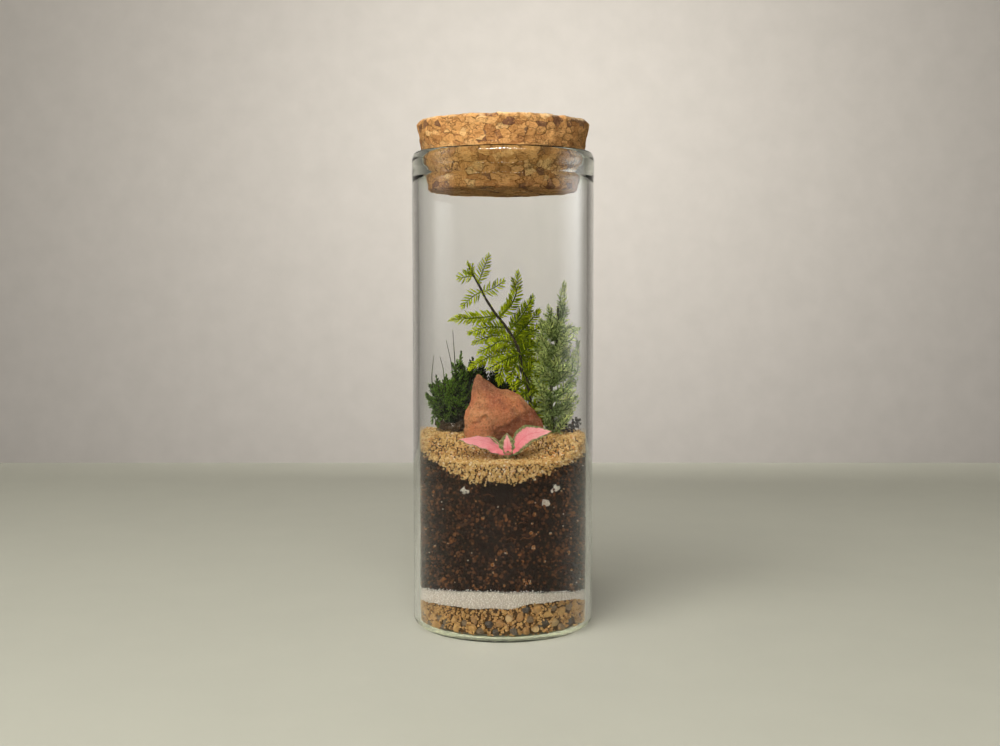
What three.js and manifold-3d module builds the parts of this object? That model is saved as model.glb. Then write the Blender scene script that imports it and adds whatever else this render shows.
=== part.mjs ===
// A corked glass jar planted as a closed terrarium. Gravel, white sand, soil and golden sand lie in
// layers, and on them stand a stone, a pink-leaved cutting, two feathery fronds and a clump of moss.
// Millimetres, +Z up, origin at the centre of the foot. The front is -Y.

import * as THREE from 'three';
import { mergeVertices } from 'three/addons/utils/BufferGeometryUtils.js';
import Module from 'manifold-3d';

const wasm = await Module();
wasm.setup();

// Driving dimensions

const JAR_DIAMETER = 47;
const JAR_HEIGHT = 122.6;
const WALL = 1.65;
const FLOOR = 1.1;
const INNER_CORNER = 0.8;
const PUNT_DEPTH = 0.7;
const BEAD_HEIGHT = 7.4;
const BEAD_BORE_RADIUS = 20.95;
const CORK_LENGTH = 18;
const CORK_BOTTOM_DIAMETER = 38.6;
const CORK_TOP_DIAMETER = 44.6;
const CORK_SHOWS = 7.7;
const GAP = 0.3;

const JAR_RADIUS = JAR_DIAMETER / 2;
const INNER_RADIUS = JAR_RADIUS - WALL;
const FILL_RADIUS = INNER_RADIUS - GAP;
const ROUND = 44;
const LAYER_SECTORS = 36;

// Rings of each surface between layers, as shares of the radius: both its sides have the same ones
const LOWER_RINGS = [0.5, 0.96];
const SOIL_RINGS = [0.33, 0.66, 0.96];
const TOP_RINGS = [0.25, 0.5, 0.75, 0.96];

// Where the plants are rooted, as [x, y] on the sand
const CUTTING_ROOT = [1.2, -12];
const TALL_ROOT = [8, 7];
const SIDE_ROOT = [13.2, 2.4];
const MOSS_ROOT = [-14, 3.6];
const ROOT_RADIUS = 0.9;
const ROOT_END = 42;

const UP = new THREE.Vector3(0, 0, 1);
const TO_FRONT = new THREE.Vector3(0, -1, 0);

const materials = {
  glass: { color: 0xe4ece6, roughness: 0.05, metalness: 0 },
  cork: { color: 0xc3935c, roughness: 0.9, metalness: 0 },
  gravel: { color: 0x94774f, roughness: 0.95, metalness: 0 },
  whiteSand: { color: 0xcabfae, roughness: 0.95, metalness: 0 },
  soil: { color: 0x402d1d, roughness: 1, metalness: 0 },
  goldenSand: { color: 0xc09a5e, roughness: 0.95, metalness: 0 },
  perlite: { color: 0xe9e4da, roughness: 0.9, metalness: 0 },
  stone: { color: 0xb1714b, roughness: 0.9, metalness: 0 },
  pinkLeaf: { color: 0xe58c94, roughness: 0.6, metalness: 0 },
  yellowGreen: { color: 0x7f8420, roughness: 0.6, metalness: 0 },
  blueGreen: { color: 0x5d6a41, roughness: 0.6, metalness: 0 },
  moss: { color: 0x2b3a16, roughness: 0.7, metalness: 0 },
};

// Solids: corners closer than the weld distance, in mm, are one corner

const WELD = 1e-3;

function solidOf(geometry) {
  const bare = geometry.clone();
  bare.deleteAttribute('normal');
  bare.deleteAttribute('uv');
  const merged = mergeVertices(bare, WELD);
  const position = merged.getAttribute('position').array;
  const corners = merged.index.array;
  const kept = [];
  let volume = 0;
  for (let i = 0; i < corners.length; i += 3) {
    const [a, b, c] = [corners[i], corners[i + 1], corners[i + 2]];
    if (a === b || b === c || c === a) {
      continue;
    }
    kept.push(a, b, c);
    const [p, q, r] = [a, b, c].map((n) => new THREE.Vector3().fromArray(position, n * 3));
    volume += p.dot(q.cross(r));
  }
  if (volume < 0) {
    kept.reverse();
  }
  return new wasm.Manifold(new wasm.Mesh({
    numProp: 3,
    vertProperties: new Float32Array(position),
    triVerts: new Uint32Array(kept),
  }));
}

function geometryOf(solid) {
  const mesh = solid.getMesh();
  const geometry = new THREE.BufferGeometry();
  geometry.setAttribute('position', new THREE.BufferAttribute(mesh.vertProperties, 3));
  geometry.setIndex(new THREE.BufferAttribute(mesh.triVerts, 1));
  geometry.computeVertexNormals();
  return geometry;
}

function fused(solids) {
  return solids.reduce((whole, piece) => whole.add(piece));
}

// The main piece of a fused solid: loose scraps and sealed hollows are left out
function largestPiece(solid) {
  const settled = solidOf(geometryOf(solid));
  return settled.decompose().reduce((best, piece) => (piece.volume() > best.volume() ? piece : best));
}

function geometryFrom(points, triangles) {
  const geometry = new THREE.BufferGeometry();
  const numbers = points.flatMap((p) => p.toArray());
  geometry.setAttribute('position', new THREE.Float32BufferAttribute(numbers, 3));
  geometry.setIndex(triangles);
  return geometry;
}

function turned(profile, segments = ROUND) {
  const outline = profile.map(([radius, height]) => new THREE.Vector2(radius, height));
  return new THREE.LatheGeometry(outline, segments).rotateX(Math.PI / 2);
}

function peg(root, radius, low, high) {
  const geometry = new THREE.CylinderGeometry(radius, radius, high - low, 8).rotateX(Math.PI / 2);
  return geometry.translate(root[0], root[1], (low + high) / 2);
}

function lump(centre, radii, detail, seed, roughness) {
  const random = randomFrom(seed);
  const geometry = mergeVertices(bareGeometry(new THREE.IcosahedronGeometry(1, detail)));
  const position = geometry.getAttribute('position');
  for (let i = 0; i < position.count; i += 1) {
    const swell = 1 + roughness * (random() - 0.5);
    position.setXYZ(i, position.getX(i) * radii[0] * swell, position.getY(i) * radii[1] * swell,
      position.getZ(i) * radii[2] * swell);
  }
  return geometry.translate(...centre);
}

function bareGeometry(geometry) {
  geometry.deleteAttribute('normal');
  geometry.deleteAttribute('uv');
  return geometry;
}

function randomFrom(seed) {
  let state = seed;
  return () => {
    state = (state * 1664525 + 1013904223) % 4294967296;
    return state / 4294967296;
  };
}

function smoothStep(low, high, value) {
  const share = THREE.MathUtils.clamp((value - low) / (high - low), 0, 1);
  return share * share * (3 - 2 * share);
}

function ripple(x, y, size) {
  return size * (Math.sin(x * 0.71 + y * 0.43) + Math.sin(y * 0.93 - x * 0.37 + 2)) / 2;
}

// Jar and cork

function jarGeometry() {
  const rim = JAR_HEIGHT;
  const beadFoot = JAR_HEIGHT - BEAD_HEIGHT;
  return turned([
    [0, PUNT_DEPTH],
    [JAR_RADIUS - 6, PUNT_DEPTH * 0.6],
    [JAR_RADIUS - 3.6, 0],
    [JAR_RADIUS - 1.5, 0],
    [JAR_RADIUS, 1.5],
    [JAR_RADIUS, beadFoot - 3],
    [JAR_RADIUS - 0.2, beadFoot],
    [JAR_RADIUS, beadFoot + 1.6],
    [JAR_RADIUS, rim - 1.6],
    [JAR_RADIUS - 0.45, rim - 0.45],
    [JAR_RADIUS - 1.3, rim],
    [BEAD_BORE_RADIUS + 0.5, rim - 0.6],
    [BEAD_BORE_RADIUS, rim - 2.2],
    [BEAD_BORE_RADIUS, rim - 4.2],
    [INNER_RADIUS, beadFoot - 0.6],
    [INNER_RADIUS, FLOOR + INNER_CORNER],
    [INNER_RADIUS - INNER_CORNER, FLOOR],
    [0, FLOOR + PUNT_DEPTH],
  ]);
}

function corkGeometry() {
  const top = JAR_HEIGHT + CORK_SHOWS;
  const bottom = top - CORK_LENGTH;
  const topRadius = CORK_TOP_DIAMETER / 2;
  const bottomRadius = CORK_BOTTOM_DIAMETER / 2;
  return turned([
    [0, bottom],
    [bottomRadius - 0.5, bottom],
    [bottomRadius, bottom + 0.4],
    [topRadius, top - 0.7],
    [topRadius - 0.7, top],
    [0, top],
  ]);
}

// Heights of the surfaces between the layers

function gravelTop(x, y) {
  const heap = 1.2 * smoothStep(1, 8, x) * smoothStep(-4, -15, y);
  return 6.5 + 0.02 * Math.abs(x) - 0.075 * y + 0.001 * y * y + heap + ripple(x, y, 0.2);
}

function whiteSandTop(x, y) {
  return 9.55 - 0.011 * x - 0.085 * y + 0.0034 * y * y + ripple(y, x, 0.2);
}

function soilTop(x, y) {
  const dip = Math.max(0, 1 - (x / 21.7) ** 2) ** 1.2 * (1 - 0.012 * x);
  return 46.5 - 0.02 * x - 6.5 * dip * smoothStep(8, -14, y) + ripple(x, y, 0.25);
}

function goldenSandTop(x, y) {
  const bank = 5.2 * smoothStep(0, 1, (y + 13) / 15 + 0.6 * (x / FILL_RADIUS) ** 2);
  const backSlope = 1.4 * smoothStep(6, 21, y);
  const leftHeap = 0.8 * (Math.min(0, x) / FILL_RADIUS) ** 2 * smoothStep(-6, 2, y);
  return 44.6 + bank - backSlope + leftHeap + ripple(y, x, 0.25);
}

function jarFloor(x, y) {
  const share = Math.min(1, Math.hypot(x, y) / (INNER_RADIUS - INNER_CORNER));
  return FLOOR + PUNT_DEPTH * (1 - share) + 0.1;
}

// A layer fills the jar between two surfaces. Its outer wall is dented by the grains behind the glass, and
// its lower edge is lifted by the foot where the jar's inside corner is round.
function layerGeometry({ low, high, lowRings, highRings, wallRows, dent, foot = 0 }) {
  const radius = FILL_RADIUS;
  const chainAt = (angle) => {
    const across = (share) => [radius * share * Math.cos(angle), radius * share * Math.sin(angle)];
    const chain = highRings.map((share) => {
      const [x, y] = across(share);
      return new THREE.Vector3(x, y, high(x, y) - GAP / 2);
    });
    const [edgeX, edgeY] = across(1);
    const edgeHigh = high(edgeX, edgeY) - GAP / 2;
    const edgeLow = low(edgeX, edgeY) + GAP / 2 + foot;
    for (let row = 0; row <= wallRows; row += 1) {
      const z = THREE.MathUtils.lerp(edgeHigh, edgeLow, row / wallRows);
      const beat = Math.sin(angle * 13 + z * 2.3) * Math.cos(angle * 7 - z * 1.1);
      const hollow = dent * (0.5 + 0.5 * beat);
      const [x, y] = across(1 - hollow / radius);
      chain.push(new THREE.Vector3(x, y, z));
    }
    [...lowRings].reverse().forEach((share) => {
      const [x, y] = across(share);
      chain.push(new THREE.Vector3(x, y, low(x, y) + GAP / 2));
    });
    return chain;
  };
  const highPole = new THREE.Vector3(0, 0, high(0, 0) - GAP / 2);
  const lowPole = new THREE.Vector3(0, 0, low(0, 0) + GAP / 2);
  const points = [highPole, lowPole];
  const length = chainAt(0).length;
  for (let sector = 0; sector < LAYER_SECTORS; sector += 1) {
    points.push(...chainAt((sector / LAYER_SECTORS) * 2 * Math.PI));
  }
  const corner = (sector, step) => 2 + (sector % LAYER_SECTORS) * length + step;
  const triangles = [];
  for (let sector = 0; sector < LAYER_SECTORS; sector += 1) {
    triangles.push(0, corner(sector, 0), corner(sector + 1, 0));
    triangles.push(1, corner(sector + 1, length - 1), corner(sector, length - 1));
    for (let step = 0; step < length - 1; step += 1) {
      const [a, b] = [corner(sector, step), corner(sector + 1, step)];
      const [c, d] = [corner(sector + 1, step + 1), corner(sector, step + 1)];
      const underneath = step >= highRings.length + wallRows;
      if (underneath) {
        triangles.push(a, d, b, b, d, c);
      } else {
        triangles.push(a, d, c, a, c, b);
      }
    }
  }
  return geometryFrom(points, triangles);
}

// Gravel: coarse tan sand with pebbles of 2 to 4 mm pressed against the glass
function gravelSolid() {
  const random = randomFrom(11);
  const bed = layerGeometry({
    low: jarFloor,
    high: gravelTop,
    lowRings: LOWER_RINGS,
    highRings: LOWER_RINGS,
    wallRows: 1,
    dent: 0.9,
    foot: 0.35,
  });
  const pebbles = [];
  const count = 18;
  for (let i = 0; i < count; i += 1) {
    const angle = (i / count) * 2 * Math.PI + 0.08 * random();
    const size = 1.3 + 0.6 * random();
    const reach = FILL_RADIUS - size * 0.72;
    const centre = [reach * Math.cos(angle), reach * Math.sin(angle)];
    const height = 2.9 + (i % 2) * 1.1 + 0.3 * random();
    pebbles.push(solidOf(lump([...centre, height], [size, size, size * 0.65], 0, 50 + i, 0.2)));
  }
  const inside = [[0, 0], [FILL_RADIUS, 0], [FILL_RADIUS, 12], [0, 12]];
  const pressedBy = solidOf(turned(inside, LAYER_SECTORS));
  return fused([solidOf(bed), ...pebbles]).intersect(pressedBy);
}

// Perlite crumbs in the soil against the glass: [angle in degrees from +X, height, radius]
const PERLITE = [
  [244, 37.9, 1.1],
  [307, 38, 1.5],
  [299, 34.6, 1.2],
  [345, 28.8, 1],
];

function perliteGeometry([degrees, height, radius], index, grow = 0) {
  const angle = THREE.MathUtils.degToRad(degrees);
  const reach = FILL_RADIUS - radius * 0.95;
  const size = radius + grow;
  const centre = [reach * Math.cos(angle), reach * Math.sin(angle), height];
  return lump(centre, [size, size, size * 0.9], 0, 30 + index, 0.12);
}

// Stone: a wedge of sandstone with its peak at the left, as an outline in x and z
const STONE_OUTLINE = [
  [-6.6, 65.3], [-7.8, 63.6], [-8.3, 61], [-8.7, 58], [-9.8, 55.9], [-10, 52.1], [-10.2, 49.5],
  [-9.4, 47.7], [-5, 47], [1, 46.8], [7, 47], [10.4, 48], [11, 50.8], [10.2, 53.6], [8.7, 55.7],
  [6.6, 58], [4.3, 60.1], [2.3, 60.8], [-2, 62.1], [-5, 64.4],
];
const STONE_CENTRE = new THREE.Vector3(0, -1, 54.5);
const STONE_FRONT = -6.4;
const STONE_BACK = 3.6;

// Slices from front to back: [share of the depth, share of the outline]
const STONE_SLICES = [[0.03, 0.5], [0.12, 0.8], [0.36, 0.97], [0.56, 1], [0.8, 0.88], [0.97, 0.5]];

function stoneGeometry() {
  const points = [];
  const depthAt = (share) => THREE.MathUtils.lerp(STONE_FRONT, STONE_BACK, share);
  STONE_SLICES.forEach(([depth, size], slice) => {
    STONE_OUTLINE.forEach(([x, z], n) => {
      const chip = 0.25 * Math.sin(n * 2.7 + slice * 1.9);
      const px = THREE.MathUtils.lerp(STONE_CENTRE.x, x, size) + chip * (1 - size);
      const pz = THREE.MathUtils.lerp(STONE_CENTRE.z, z, size);
      const undercut = px > -3 && depth < 0.5 ? Math.max(0, 54.6 - pz) * 0.3 : 0;
      const lean = (pz - STONE_CENTRE.z) * 0.16;
      points.push(new THREE.Vector3(px, depthAt(depth) + undercut + lean + chip, pz));
    });
  });
  points.push(new THREE.Vector3(STONE_CENTRE.x - 2, STONE_FRONT - 0.1, STONE_CENTRE.z + 1));
  points.push(new THREE.Vector3(STONE_CENTRE.x, STONE_BACK + 0.1, STONE_CENTRE.z));
  const count = STONE_OUTLINE.length;
  const [frontPole, backPole] = [points.length - 2, points.length - 1];
  const lastRing = (STONE_SLICES.length - 1) * count;
  const triangles = [];
  for (let n = 0; n < count; n += 1) {
    const next = (n + 1) % count;
    triangles.push(frontPole, next, n, backPole, lastRing + n, lastRing + next);
    for (let slice = 0; slice < STONE_SLICES.length - 1; slice += 1) {
      const [near, far] = [slice * count, (slice + 1) * count];
      triangles.push(near + n, near + next, far + next, near + n, far + next, far + n);
    }
  }
  return geometryFrom(points, triangles);
}

// The room that the stone takes, with the gap round it
function stoneRoom() {
  const centre = [STONE_CENTRE.x, (STONE_FRONT + STONE_BACK) / 2, STONE_CENTRE.z];
  const geometry = stoneGeometry().translate(-centre[0], -centre[1], -centre[2]);
  return solidOf(geometry.scale(1.06, 1.15, 1.07).translate(...centre));
}

// Leaves and shoots bend inwards where they meet the glass
function insideGlass(point) {
  const radius = Math.hypot(point.x, point.y);
  const free = FILL_RADIUS - 3;
  if (radius <= free) {
    return point;
  }
  const bent = free + 2.8 * (1 - Math.exp(-(radius - free) / 2.8));
  return new THREE.Vector3((point.x * bent) / radius, (point.y * bent) / radius, point.z);
}

// How far a needle stands out of its shoot and leans to the tip, as shares of its length
const NEEDLE_OUT = 0.8;
const NEEDLE_FORWARD = 0.6;

// A shoot is a slim stem of few sides along a curve. Needles are raised from the faces of its sections:
// from every face of a round shoot, and from the two side faces of a flat one.
function shootGeometry({ path, girth, tipGirth, needle, pitch, flat = false, bare = 1 }) {
  const curve = new THREE.CatmullRomCurve3(path.map((p) => new THREE.Vector3(...p)));
  const length = curve.getLength();
  const sections = Math.max(3, Math.round(length / pitch));
  const sides = 3;
  const points = [];
  const triangles = [];
  const frames = [];
  for (let k = 0; k <= sections; k += 1) {
    const share = k / sections;
    const tangent = curve.getTangentAt(share);
    const across = new THREE.Vector3().crossVectors(tangent, TO_FRONT).normalize();
    const outward = new THREE.Vector3().crossVectors(across, tangent).normalize();
    const centre = curve.getPointAt(share);
    const half = THREE.MathUtils.lerp(girth, tipGirth, share) / 2;
    frames.push({ tangent, across, outward, share });
    for (let side = 0; side < sides; side += 1) {
      const angle = (side / sides) * 2 * Math.PI + Math.PI / 2;
      const corner = centre.clone()
        .addScaledVector(across, half * Math.SQRT2 * Math.cos(angle))
        .addScaledVector(outward, half * Math.SQRT2 * Math.sin(angle));
      points.push(insideGlass(corner));
    }
  }
  const bareSections = Math.ceil(bare / pitch);
  for (let k = 0; k < sections; k += 1) {
    const { tangent, across, outward, share } = frames[k];
    for (let side = 0; side < sides; side += 1) {
      const next = (side + 1) % sides;
      const quad = [k * sides + side, k * sides + next, (k + 1) * sides + next, (k + 1) * sides + side];
      const bears = needle > 0 && k >= bareSections && !(flat && side === 1);
      if (!bears) {
        triangles.push(quad[0], quad[1], quad[2], quad[0], quad[2], quad[3]);
        continue;
      }
      const angle = ((side + 0.5) / sides) * 2 * Math.PI + Math.PI / 2;
      const away = flat
        ? across.clone().multiplyScalar(side === 0 ? -1 : 1)
        : across.clone().multiplyScalar(Math.cos(angle)).addScaledVector(outward, Math.sin(angle));
      const reach = needle * (1 - 0.6 * share * share) * (0.92 + 0.08 * Math.sin(k * 5.1 + side * 2.3));
      const apex = quad.reduce((sum, n) => sum.add(points[n]), new THREE.Vector3()).multiplyScalar(0.25)
        .addScaledVector(away, reach * NEEDLE_OUT)
        .addScaledVector(tangent, reach * NEEDLE_FORWARD);
      const tip = points.push(insideGlass(apex)) - 1;
      quad.forEach((n, i) => triangles.push(n, quad[(i + 1) % 4], tip));
    }
  }
  const last = frames[sections];
  const firstCap = points.push(insideGlass(curve.getPointAt(0))) - 1;
  const end = curve.getPointAt(1).addScaledVector(last.tangent, 0.5 + needle / 3);
  const lastCap = points.push(insideGlass(end)) - 1;
  for (let side = 0; side < sides; side += 1) {
    const next = (side + 1) % sides;
    triangles.push(firstCap, next, side);
    triangles.push(lastCap, sections * sides + side, sections * sides + next);
  }
  return geometryFrom(points, triangles);
}

function shoots(list) {
  return list.map((settings) => solidOf(shootGeometry(settings)));
}

// Tall frond: a leaning dark stem with flat sprays of needles on both sides
const TALL_STEM = [
  [8, 7, 49], [6.8, 6.7, 61.6], [5, 6.4, 66], [4.3, 6.2, 70.8], [2.8, 6, 74.4], [0.1, 5.8, 78.4],
  [-1.9, 5.6, 80.8], [-4.4, 5.4, 84.6], [-5.7, 5.3, 87.2], [-6.9, 5.2, 89.4], [-8.9, 5.1, 93],
];

// Sprays of the tall frond, each from the stem outwards: at its top, to the left, hanging, to the right
const TALL_SPRAYS = [
  [[-6.6, 5.2, 89], [-5.2, 5, 92.6], [-3.9, 4.8, 96]],
  [[-7.9, 5.2, 91], [-11.4, 4.8, 90.4]],
  [[-5.5, 5.3, 86.6], [-2.4, 5, 87.8], [0, 4.8, 89.4]],
  [[-5.6, 5.3, 86.9], [-8.4, 4.8, 85.2], [-10.6, 4.6, 83]],
  [[-1.6, 5.6, 80.4], [-7.6, 5, 79.9], [-13.6, 4.6, 79.4]],
  [[0.7, 5.8, 77.4], [-4.2, 4.2, 77.5], [-8.7, 3.4, 76]],
  [[2.8, 6, 74.4], [-2.6, 5.6, 75.2], [-7.7, 5.4, 73.4]],
  [[3.8, 6.2, 72.6], [-1.6, 4.2, 73], [-6.2, 3.2, 70.9]],
  [[4.2, 6.2, 71.2], [-1.8, 5.4, 70.6], [-8.8, 4.9, 66.6]],
  [[4.3, 6.2, 70.2], [0.4, 4, 68.8], [-3.8, 3.6, 66.6]],
  [[4.3, 6.2, 69.8], [0.6, 6, 67], [-0.7, 6, 62.6]],
  [[4.4, 6.2, 69], [2.8, 5.4, 66.6], [1.9, 4.8, 63]],
  [[-1.2, 5.7, 79.9], [2.3, 5.9, 83.3], [3.9, 6.1, 88.2], [3.9, 6.2, 91.6]],
  [[1.7, 5.9, 76.2], [5.6, 6.4, 81.2], [7.8, 6.6, 85.4]],
  [[2.9, 6, 74.2], [6.6, 7, 78.4], [9.6, 7.8, 81.6]],
  [[4.2, 6.2, 71], [7.6, 7.7, 75.4], [10.6, 8.4, 78]],
  [[4.4, 6.3, 69.2], [8, 8, 72.2], [11, 8.8, 73.8]],
  [[5, 6.4, 66.4], [8.4, 8, 68.2], [11.2, 9, 69]],
  [[5.9, 6.6, 64], [8.6, 7.8, 64.4], [11, 8.6, 63.6]],
  [[6.8, 6.8, 61], [8.8, 7.8, 60.4], [10.6, 8.4, 58.4]],
  [[3.6, 6.2, 72.8], [5.4, 8, 77.6], [6.8, 9, 80.6]],
  [[4.4, 6.2, 70], [5.8, 8.4, 74], [7.6, 9.8, 76.8]],
  [[5.2, 6.4, 65.8], [6.8, 8.8, 69.6], [8.6, 10.2, 72.2]],
  [[6.2, 6.6, 63], [7.6, 8.6, 66.4], [9.4, 10, 67.8]],
  [[7, 6.8, 59.6], [8, 8.4, 62.4], [9.2, 9.6, 63.8]],
];

function tallFrondSolid() {
  const stemLook = { girth: 1.3, tipGirth: 0.6, needle: 1.5, pitch: 1.8, flat: true, bare: 36 };
  const sprayLook = { girth: 0.8, tipGirth: 0.45, needle: 3, pitch: 1.1, flat: true };
  const stem = { path: TALL_STEM, ...stemLook };
  const sprays = TALL_SPRAYS.map((path) => ({ path, ...sprayLook }));
  const root = solidOf(peg(TALL_ROOT, ROOT_RADIUS, ROOT_END + GAP, 50));
  return fused([root, ...shoots([stem, ...sprays])]);
}

// Side frond: an upright stem at the right, with bushy shoots on all sides
const SIDE_STEM = [
  [13.3, 2.4, 49], [12.7, 2, 55.7], [12.7, 1.8, 61.2], [13.4, 1.7, 66.9],
  [14, 1.6, 72.6], [14.3, 1.6, 78.3], [14.4, 1.6, 83],
];
const SIDE_SHOOTS = [
  [[14.2, 1.6, 75.5], [16, 1.8, 81.7], [16.1, 1.8, 86], [16.4, 1.8, 88.6]],
  [[14.2, 1.6, 76.2], [12.4, 1.2, 80], [11.8, 1, 83]],
  [[14, 1.6, 72.4], [18, 1.4, 76], [20.6, 1.2, 77.4]],
  [[13.1, 1.7, 64.5], [18.2, 2.6, 67.6], [20.6, 2.8, 73.4]],
];

// Reach of the bush to the left and right of its stem, by height of the shoot's tip
const SIDE_REACH = [
  [54.5, -4, 6.2], [58.5, -4.2, 7.4], [62.5, -4.4, 6.8], [66.5, -4.6, 5.6],
  [70.5, -4.8, 4.8], [74.5, -4.4, 3.8], [78.5, -3.2, 2.6],
];

function sideFrondSolid() {
  const stem = { path: SIDE_STEM, girth: 1.3, tipGirth: 0.6, needle: 1.5, pitch: 1.3, bare: 3 };
  const paths = [...SIDE_SHOOTS];
  SIDE_REACH.forEach(([height, left, right], level) => {
    [left, right].forEach((reach, hand) => {
      [0, 1].forEach((row) => {
        const rootZ = height - 4.2 + row * 1.6;
        const depth = (row === 0 ? -2.6 : 2.2) + 0.7 * Math.sin(level * 2.1 + hand);
        const spread = row === 0 ? 0.72 : 1;
        paths.push([
          [13.1, 1.8, rootZ],
          [13.1 + reach * spread * 0.55, 1.8 + depth * 0.6, rootZ + 1.9],
          [13.1 + reach * spread, 1.8 + depth, height + row],
        ]);
      });
    });
  });
  const bushy = paths.map((path) => ({ path, girth: 0.75, tipGirth: 0.5, needle: 2.3, pitch: 1.75 }));
  const root = solidOf(peg(SIDE_ROOT, ROOT_RADIUS, ROOT_END + GAP, 51));
  const rootBall = solidOf(lump([14.2, 2.2, 52.2], [3.4, 2.8, 1.6], 1, 5, 0.25));
  const crumbs = solidOf(lump([18.3, 2.4, 52.7], [2.1, 2, 1.2], 1, 6, 0.3));
  return fused([root, rootBall, crumbs, ...shoots([stem, ...bushy])]);
}

// Moss: cores that leafy sprigs and bare stalks stand out of, to the left of the stone and behind it
const MOSS_CORES = [
  { centre: [-15.4, 3.4, 57.4], radii: [3.2, 3.4, 3.4], sprigs: 12 },
  { centre: [-13.6, 3.2, 53.8], radii: [2.8, 3, 2.4], sprigs: 5 },
  { centre: [-12, 6.8, 56.4], radii: [2.8, 2.8, 5], sprigs: 5 },
  { centre: [-9.2, 9.8, 59], radii: [3.4, 2.8, 7.4], sprigs: 8 },
  { centre: [-3.8, 12, 57.4], radii: [4, 2.6, 7], sprigs: 7 },
  { centre: [1.4, 12.4, 56.6], radii: [2.6, 2.4, 6], sprigs: 2 },
];
const MOSS_STALKS = [
  [[-18.4, 3, 60], [-19, 3, 64], [-18.4, 2.6, 69.9]],
  [[-13.4, 4, 61], [-13.6, 3.6, 67], [-15, 3.2, 73.9]],
  [[-12.6, 6, 62], [-12.9, 5.6, 69], [-13.4, 5.2, 76.5]],
  [[-15.4, 3.4, 60], [-15.8, 3, 66], [-16.6, 2.6, 69.6]],
];
const MOSS_LEADERS = [
  [[-11.4, 8.4, 61], [-11.4, 8, 66], [-11.3, 7.6, 70.6]],
  [[-8.6, 10, 62], [-8.4, 10, 66], [-8.2, 9.8, 69]],
];

function mossSprigs() {
  const list = [];
  const goldenAngle = Math.PI * (3 - Math.sqrt(5));
  MOSS_CORES.forEach(({ centre, radii, sprigs }, core) => {
    for (let i = 0; i < sprigs; i += 1) {
      const rise = 0.95 - (1.3 * (i + 0.5)) / sprigs;
      const flat = Math.sqrt(1 - rise * rise);
      const turn = i * goldenAngle + core;
      const way = new THREE.Vector3(flat * Math.cos(turn), flat * Math.sin(turn), rise);
      const inset = way.clone().multiply(new THREE.Vector3(...radii)).multiplyScalar(0.7);
      const root = inset.add(new THREE.Vector3(...centre));
      const reach = 3.4 + 0.8 * Math.sin(i * 1.7 + core);
      const tip = root.clone().addScaledVector(way, reach).addScaledVector(UP, 1.2);
      const middle = root.clone().lerp(tip, 0.5).addScaledVector(UP, -0.4);
      list.push([root.toArray(), middle.toArray(), tip.toArray()]);
    }
  });
  return list;
}

function mossSolid() {
  const cores = MOSS_CORES.map(({ centre, radii }, i) => solidOf(lump(centre, radii, 0, 70 + i, 0.16)));
  const leafy = [...mossSprigs(), ...MOSS_LEADERS].map((path) => (
    { path, girth: 0.8, tipGirth: 0.5, needle: 1.9, pitch: 1.65, bare: 1 }));
  const stalks = MOSS_STALKS.map((path) => (
    { path, girth: 0.62, tipGirth: 0.5, needle: 0, pitch: 4 }));
  const root = solidOf(peg(MOSS_ROOT, ROOT_RADIUS, ROOT_END + GAP, 53));
  const crumbs = solidOf(lump([-12.6, 0.2, 52], [2.4, 1.6, 1.2], 1, 9, 0.3));
  return fused([root, crumbs, ...cores, ...shoots([...leafy, ...stalks])]);
}

// Pink-leaved cutting: pairs of blades on a short stem, each arched along its rib and waved at its edge
const LEAVES = [
  {
    rib: [[0.9, -12, 46], [-4.4, -12.4, 49.1], [-11, -12.5, 49.7]],
    half: 2.5,
    side: [0.1, 0.82, 0.56],
    across: 4,
  },
  {
    rib: [[1.8, -12, 46], [6, -12.2, 50.7], [12, -12.4, 51.8]],
    half: 2.8,
    side: [-0.35, 0.55, 0.76],
    across: 4,
  },
  {
    rib: [[1.2, -12, 45.4], [1.1, -11.2, 48.2], [0.9, -10.4, 50.9]],
    half: 2.3,
    side: [1, 0, 0.05],
    across: 2,
  },
  {
    rib: [[1.2, -12.2, 45.4], [1.3, -13.2, 46.1], [1.4, -14.2, 46.4]],
    half: 0.9,
    side: [1, 0, 0],
    across: 2,
  },
  {
    rib: [[0.8, -11.8, 46], [-1.6, -10.8, 48.9], [-4, -10.2, 50.4]],
    half: 0.7,
    side: [0.5, 0.4, 0.7],
    across: 2,
  },
];
const LEAF_THICKNESS = 0.62;
const LEAF_WAVES = 4;

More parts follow.
